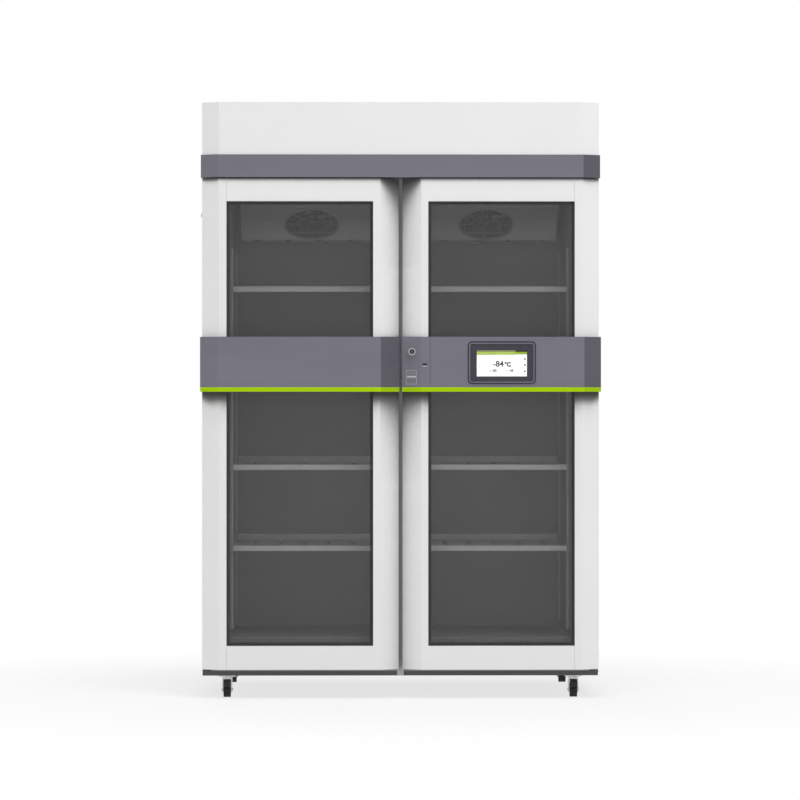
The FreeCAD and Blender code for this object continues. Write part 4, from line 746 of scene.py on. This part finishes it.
def panel_screws():
    """Screws of the back panel, the rear grille and the evaporator's cover."""
    low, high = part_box("back_panel")
    face = high.y - 1 * MM
    edge = high.x - 9 * MM
    rows = [low.z + (high.z - low.z) * share for share in (0.02, 0.26, 0.5, 0.74, 0.98)]
    points = [(edge * side, face, z) for side in (-1, 1) for z in rows]
    points += [(x, face, z) for x in (-0.3, 0.0, 0.3) for z in (rows[0], rows[-1])]
    screws("back_panel_screws", points, (0, 1, 0), 4 * MM, ZINC, "cabinet")
    low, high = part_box("rear_grille")
    points = [(x, high.y, z) for x in (low.x + 9 * MM, -0.2, 0.2, high.x - 9 * MM)
              for z in (low.z + 10 * MM, high.z - 10 * MM)]
    screws("rear_grille_screws", points, (0, 1, 0), 4 * MM, ZINC, "cabinet")
    low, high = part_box("evaporator_cover")
    points = [(x, low.y, high.z - 8 * MM) for x in (-0.5, -0.17, 0.17, 0.5)]
    screws("evaporator_cover_screws", points, (0, -1, 0), 3.5 * MM, ZINC, "cabinet")


# Room

def floor_material():
    """White floor that keeps a soft shadow near the object and fades into the backdrop."""
    material = new_material("studio_floor", colour("F4F4F4"), 0.9, Specular_IOR_Level=0.0)
    white = add_node(material, "ShaderNodeEmission")
    white.inputs["Color"].default_value = (1, 1, 1, 1)
    place = add_node(material, "ShaderNodeTexCoord")
    distance = add_node(material, "ShaderNodeVectorMath", operation="LENGTH")
    link(material, place.outputs["Object"], distance.inputs[0])
    fade = map_range(material, distance.outputs["Value"], 0.74, 1.0, 0.9, 2.2)
    share = calculate(material, "MULTIPLY", fade, seen_directly(material))
    mix = add_node(material, "ShaderNodeMixShader")
    output = material.node_tree.nodes["Material Output"]
    link(material, share, mix.inputs["Fac"])
    link(material, shader_of(material).outputs["BSDF"], mix.inputs[1])
    link(material, white.outputs["Emission"], mix.inputs[2])
    link(material, mix.outputs["Shader"], output.inputs["Surface"])
    return material


def calculate(owner, operation, first, second):
    node = add_node(owner, "ShaderNodeMath", operation=operation)
    link(owner, first, node.inputs[0])
    link(owner, second, node.inputs[1])
    return node.outputs[0]


def seen_directly(owner):
    """One for camera, glossy and transmission rays, and nothing for the light that falls."""
    rays = add_node(owner, "ShaderNodeLightPath").outputs
    seen = calculate(owner, "MAXIMUM", rays["Is Camera Ray"], rays["Is Glossy Ray"])
    return calculate(owner, "MAXIMUM", seen, rays["Is Transmission Ray"])


def studio_floor():
    reach = 60.0
    mesh = bpy.data.meshes.new("studio_floor")
    corners = [(-reach, -reach, 0), (reach, -reach, 0), (reach, reach, 0), (-reach, reach, 0)]
    mesh.from_pydata(corners, [], [(0, 1, 2, 3)])
    floor = bpy.data.objects.new("studio_floor", mesh)
    bpy.context.scene.collection.objects.link(floor)
    mesh.materials.append(floor_material())


def studio_world(fill):
    """White where it is seen, and a plain grey fill where it lights."""
    world = bpy.data.worlds.new("studio_world")
    bpy.context.scene.world = world
    world.use_nodes = True
    background = world.node_tree.nodes["Background"]
    background.inputs["Color"].default_value = (1, 1, 1, 1)
    strength = map_range(world, seen_directly(world), fill, 1.0)
    link(world, strength, background.inputs["Strength"])


def lamp(name, place, target, width, height, power):
    light = bpy.data.lights.new(name, "AREA")
    light.shape = "RECTANGLE"
    light.size = width
    light.size_y = height
    light.energy = power
    holder = bpy.data.objects.new(name, light)
    holder.location = place
    holder.rotation_euler = (Vector(target) - Vector(place)).to_track_quat("-Z", "Y").to_euler()
    holder.visible_glossy = False
    bpy.context.scene.collection.objects.link(holder)


def studio_lights():
    middle = (0, 0, 1.0)
    lamp("key_light", (2.4, -5.0, 5.8), middle, 2.4, 2.4, 120)
    lamp("overhead_light", (0.3, -2.0, 7.5), (0, -0.3, 1.0), 2.2, 1.4, 178)
    lamp("front_fill", (-1.0, -8.5, 1.3), middle, 4.0, 3.0, 119)
    lamp("left_fill", (-6.0, -0.6, 2.4), middle, 3.0, 3.0, 60)
    lamp("right_fill", (6.0, -0.6, 2.4), middle, 3.0, 3.0, 60)
    lamp("back_light", (-1.5, 6.5, 3.4), middle, 3.0, 2.4, 104)


def photo_camera():
    data = bpy.data.cameras.new("photo_camera")
    camera = bpy.data.objects.new("photo_camera", data)
    bpy.context.scene.collection.objects.link(camera)
    front = cad_box[0][1]
    eye = Vector((EYE_X, front - EYE_DISTANCE, EYE_Z))
    aim_x = (PHOTO_SIZE / 2 - PHOTO_CENTRE_X) * METRES_PER_PIXEL
    aim = Vector((aim_x, front, EYE_Z))
    camera.location = eye
    camera.rotation_euler = (aim - eye).to_track_quat("-Z", "Y").to_euler()
    data.sensor_width = SENSOR
    data.lens = SENSOR * EYE_DISTANCE / (PHOTO_SIZE * METRES_PER_PIXEL)
    data.clip_end = 200
    bpy.context.scene.camera = camera


photo_camera()
finish_nodes()
door_joints()
display_pieces()
bezel_pieces()
band_details()
card_reader_mark()
lock_pieces()
panel_screws()
caster_pieces()
studio_floor()
studio_world(0.22)
studio_lights()
bpy.context.scene.view_settings.view_transform = "Standard"
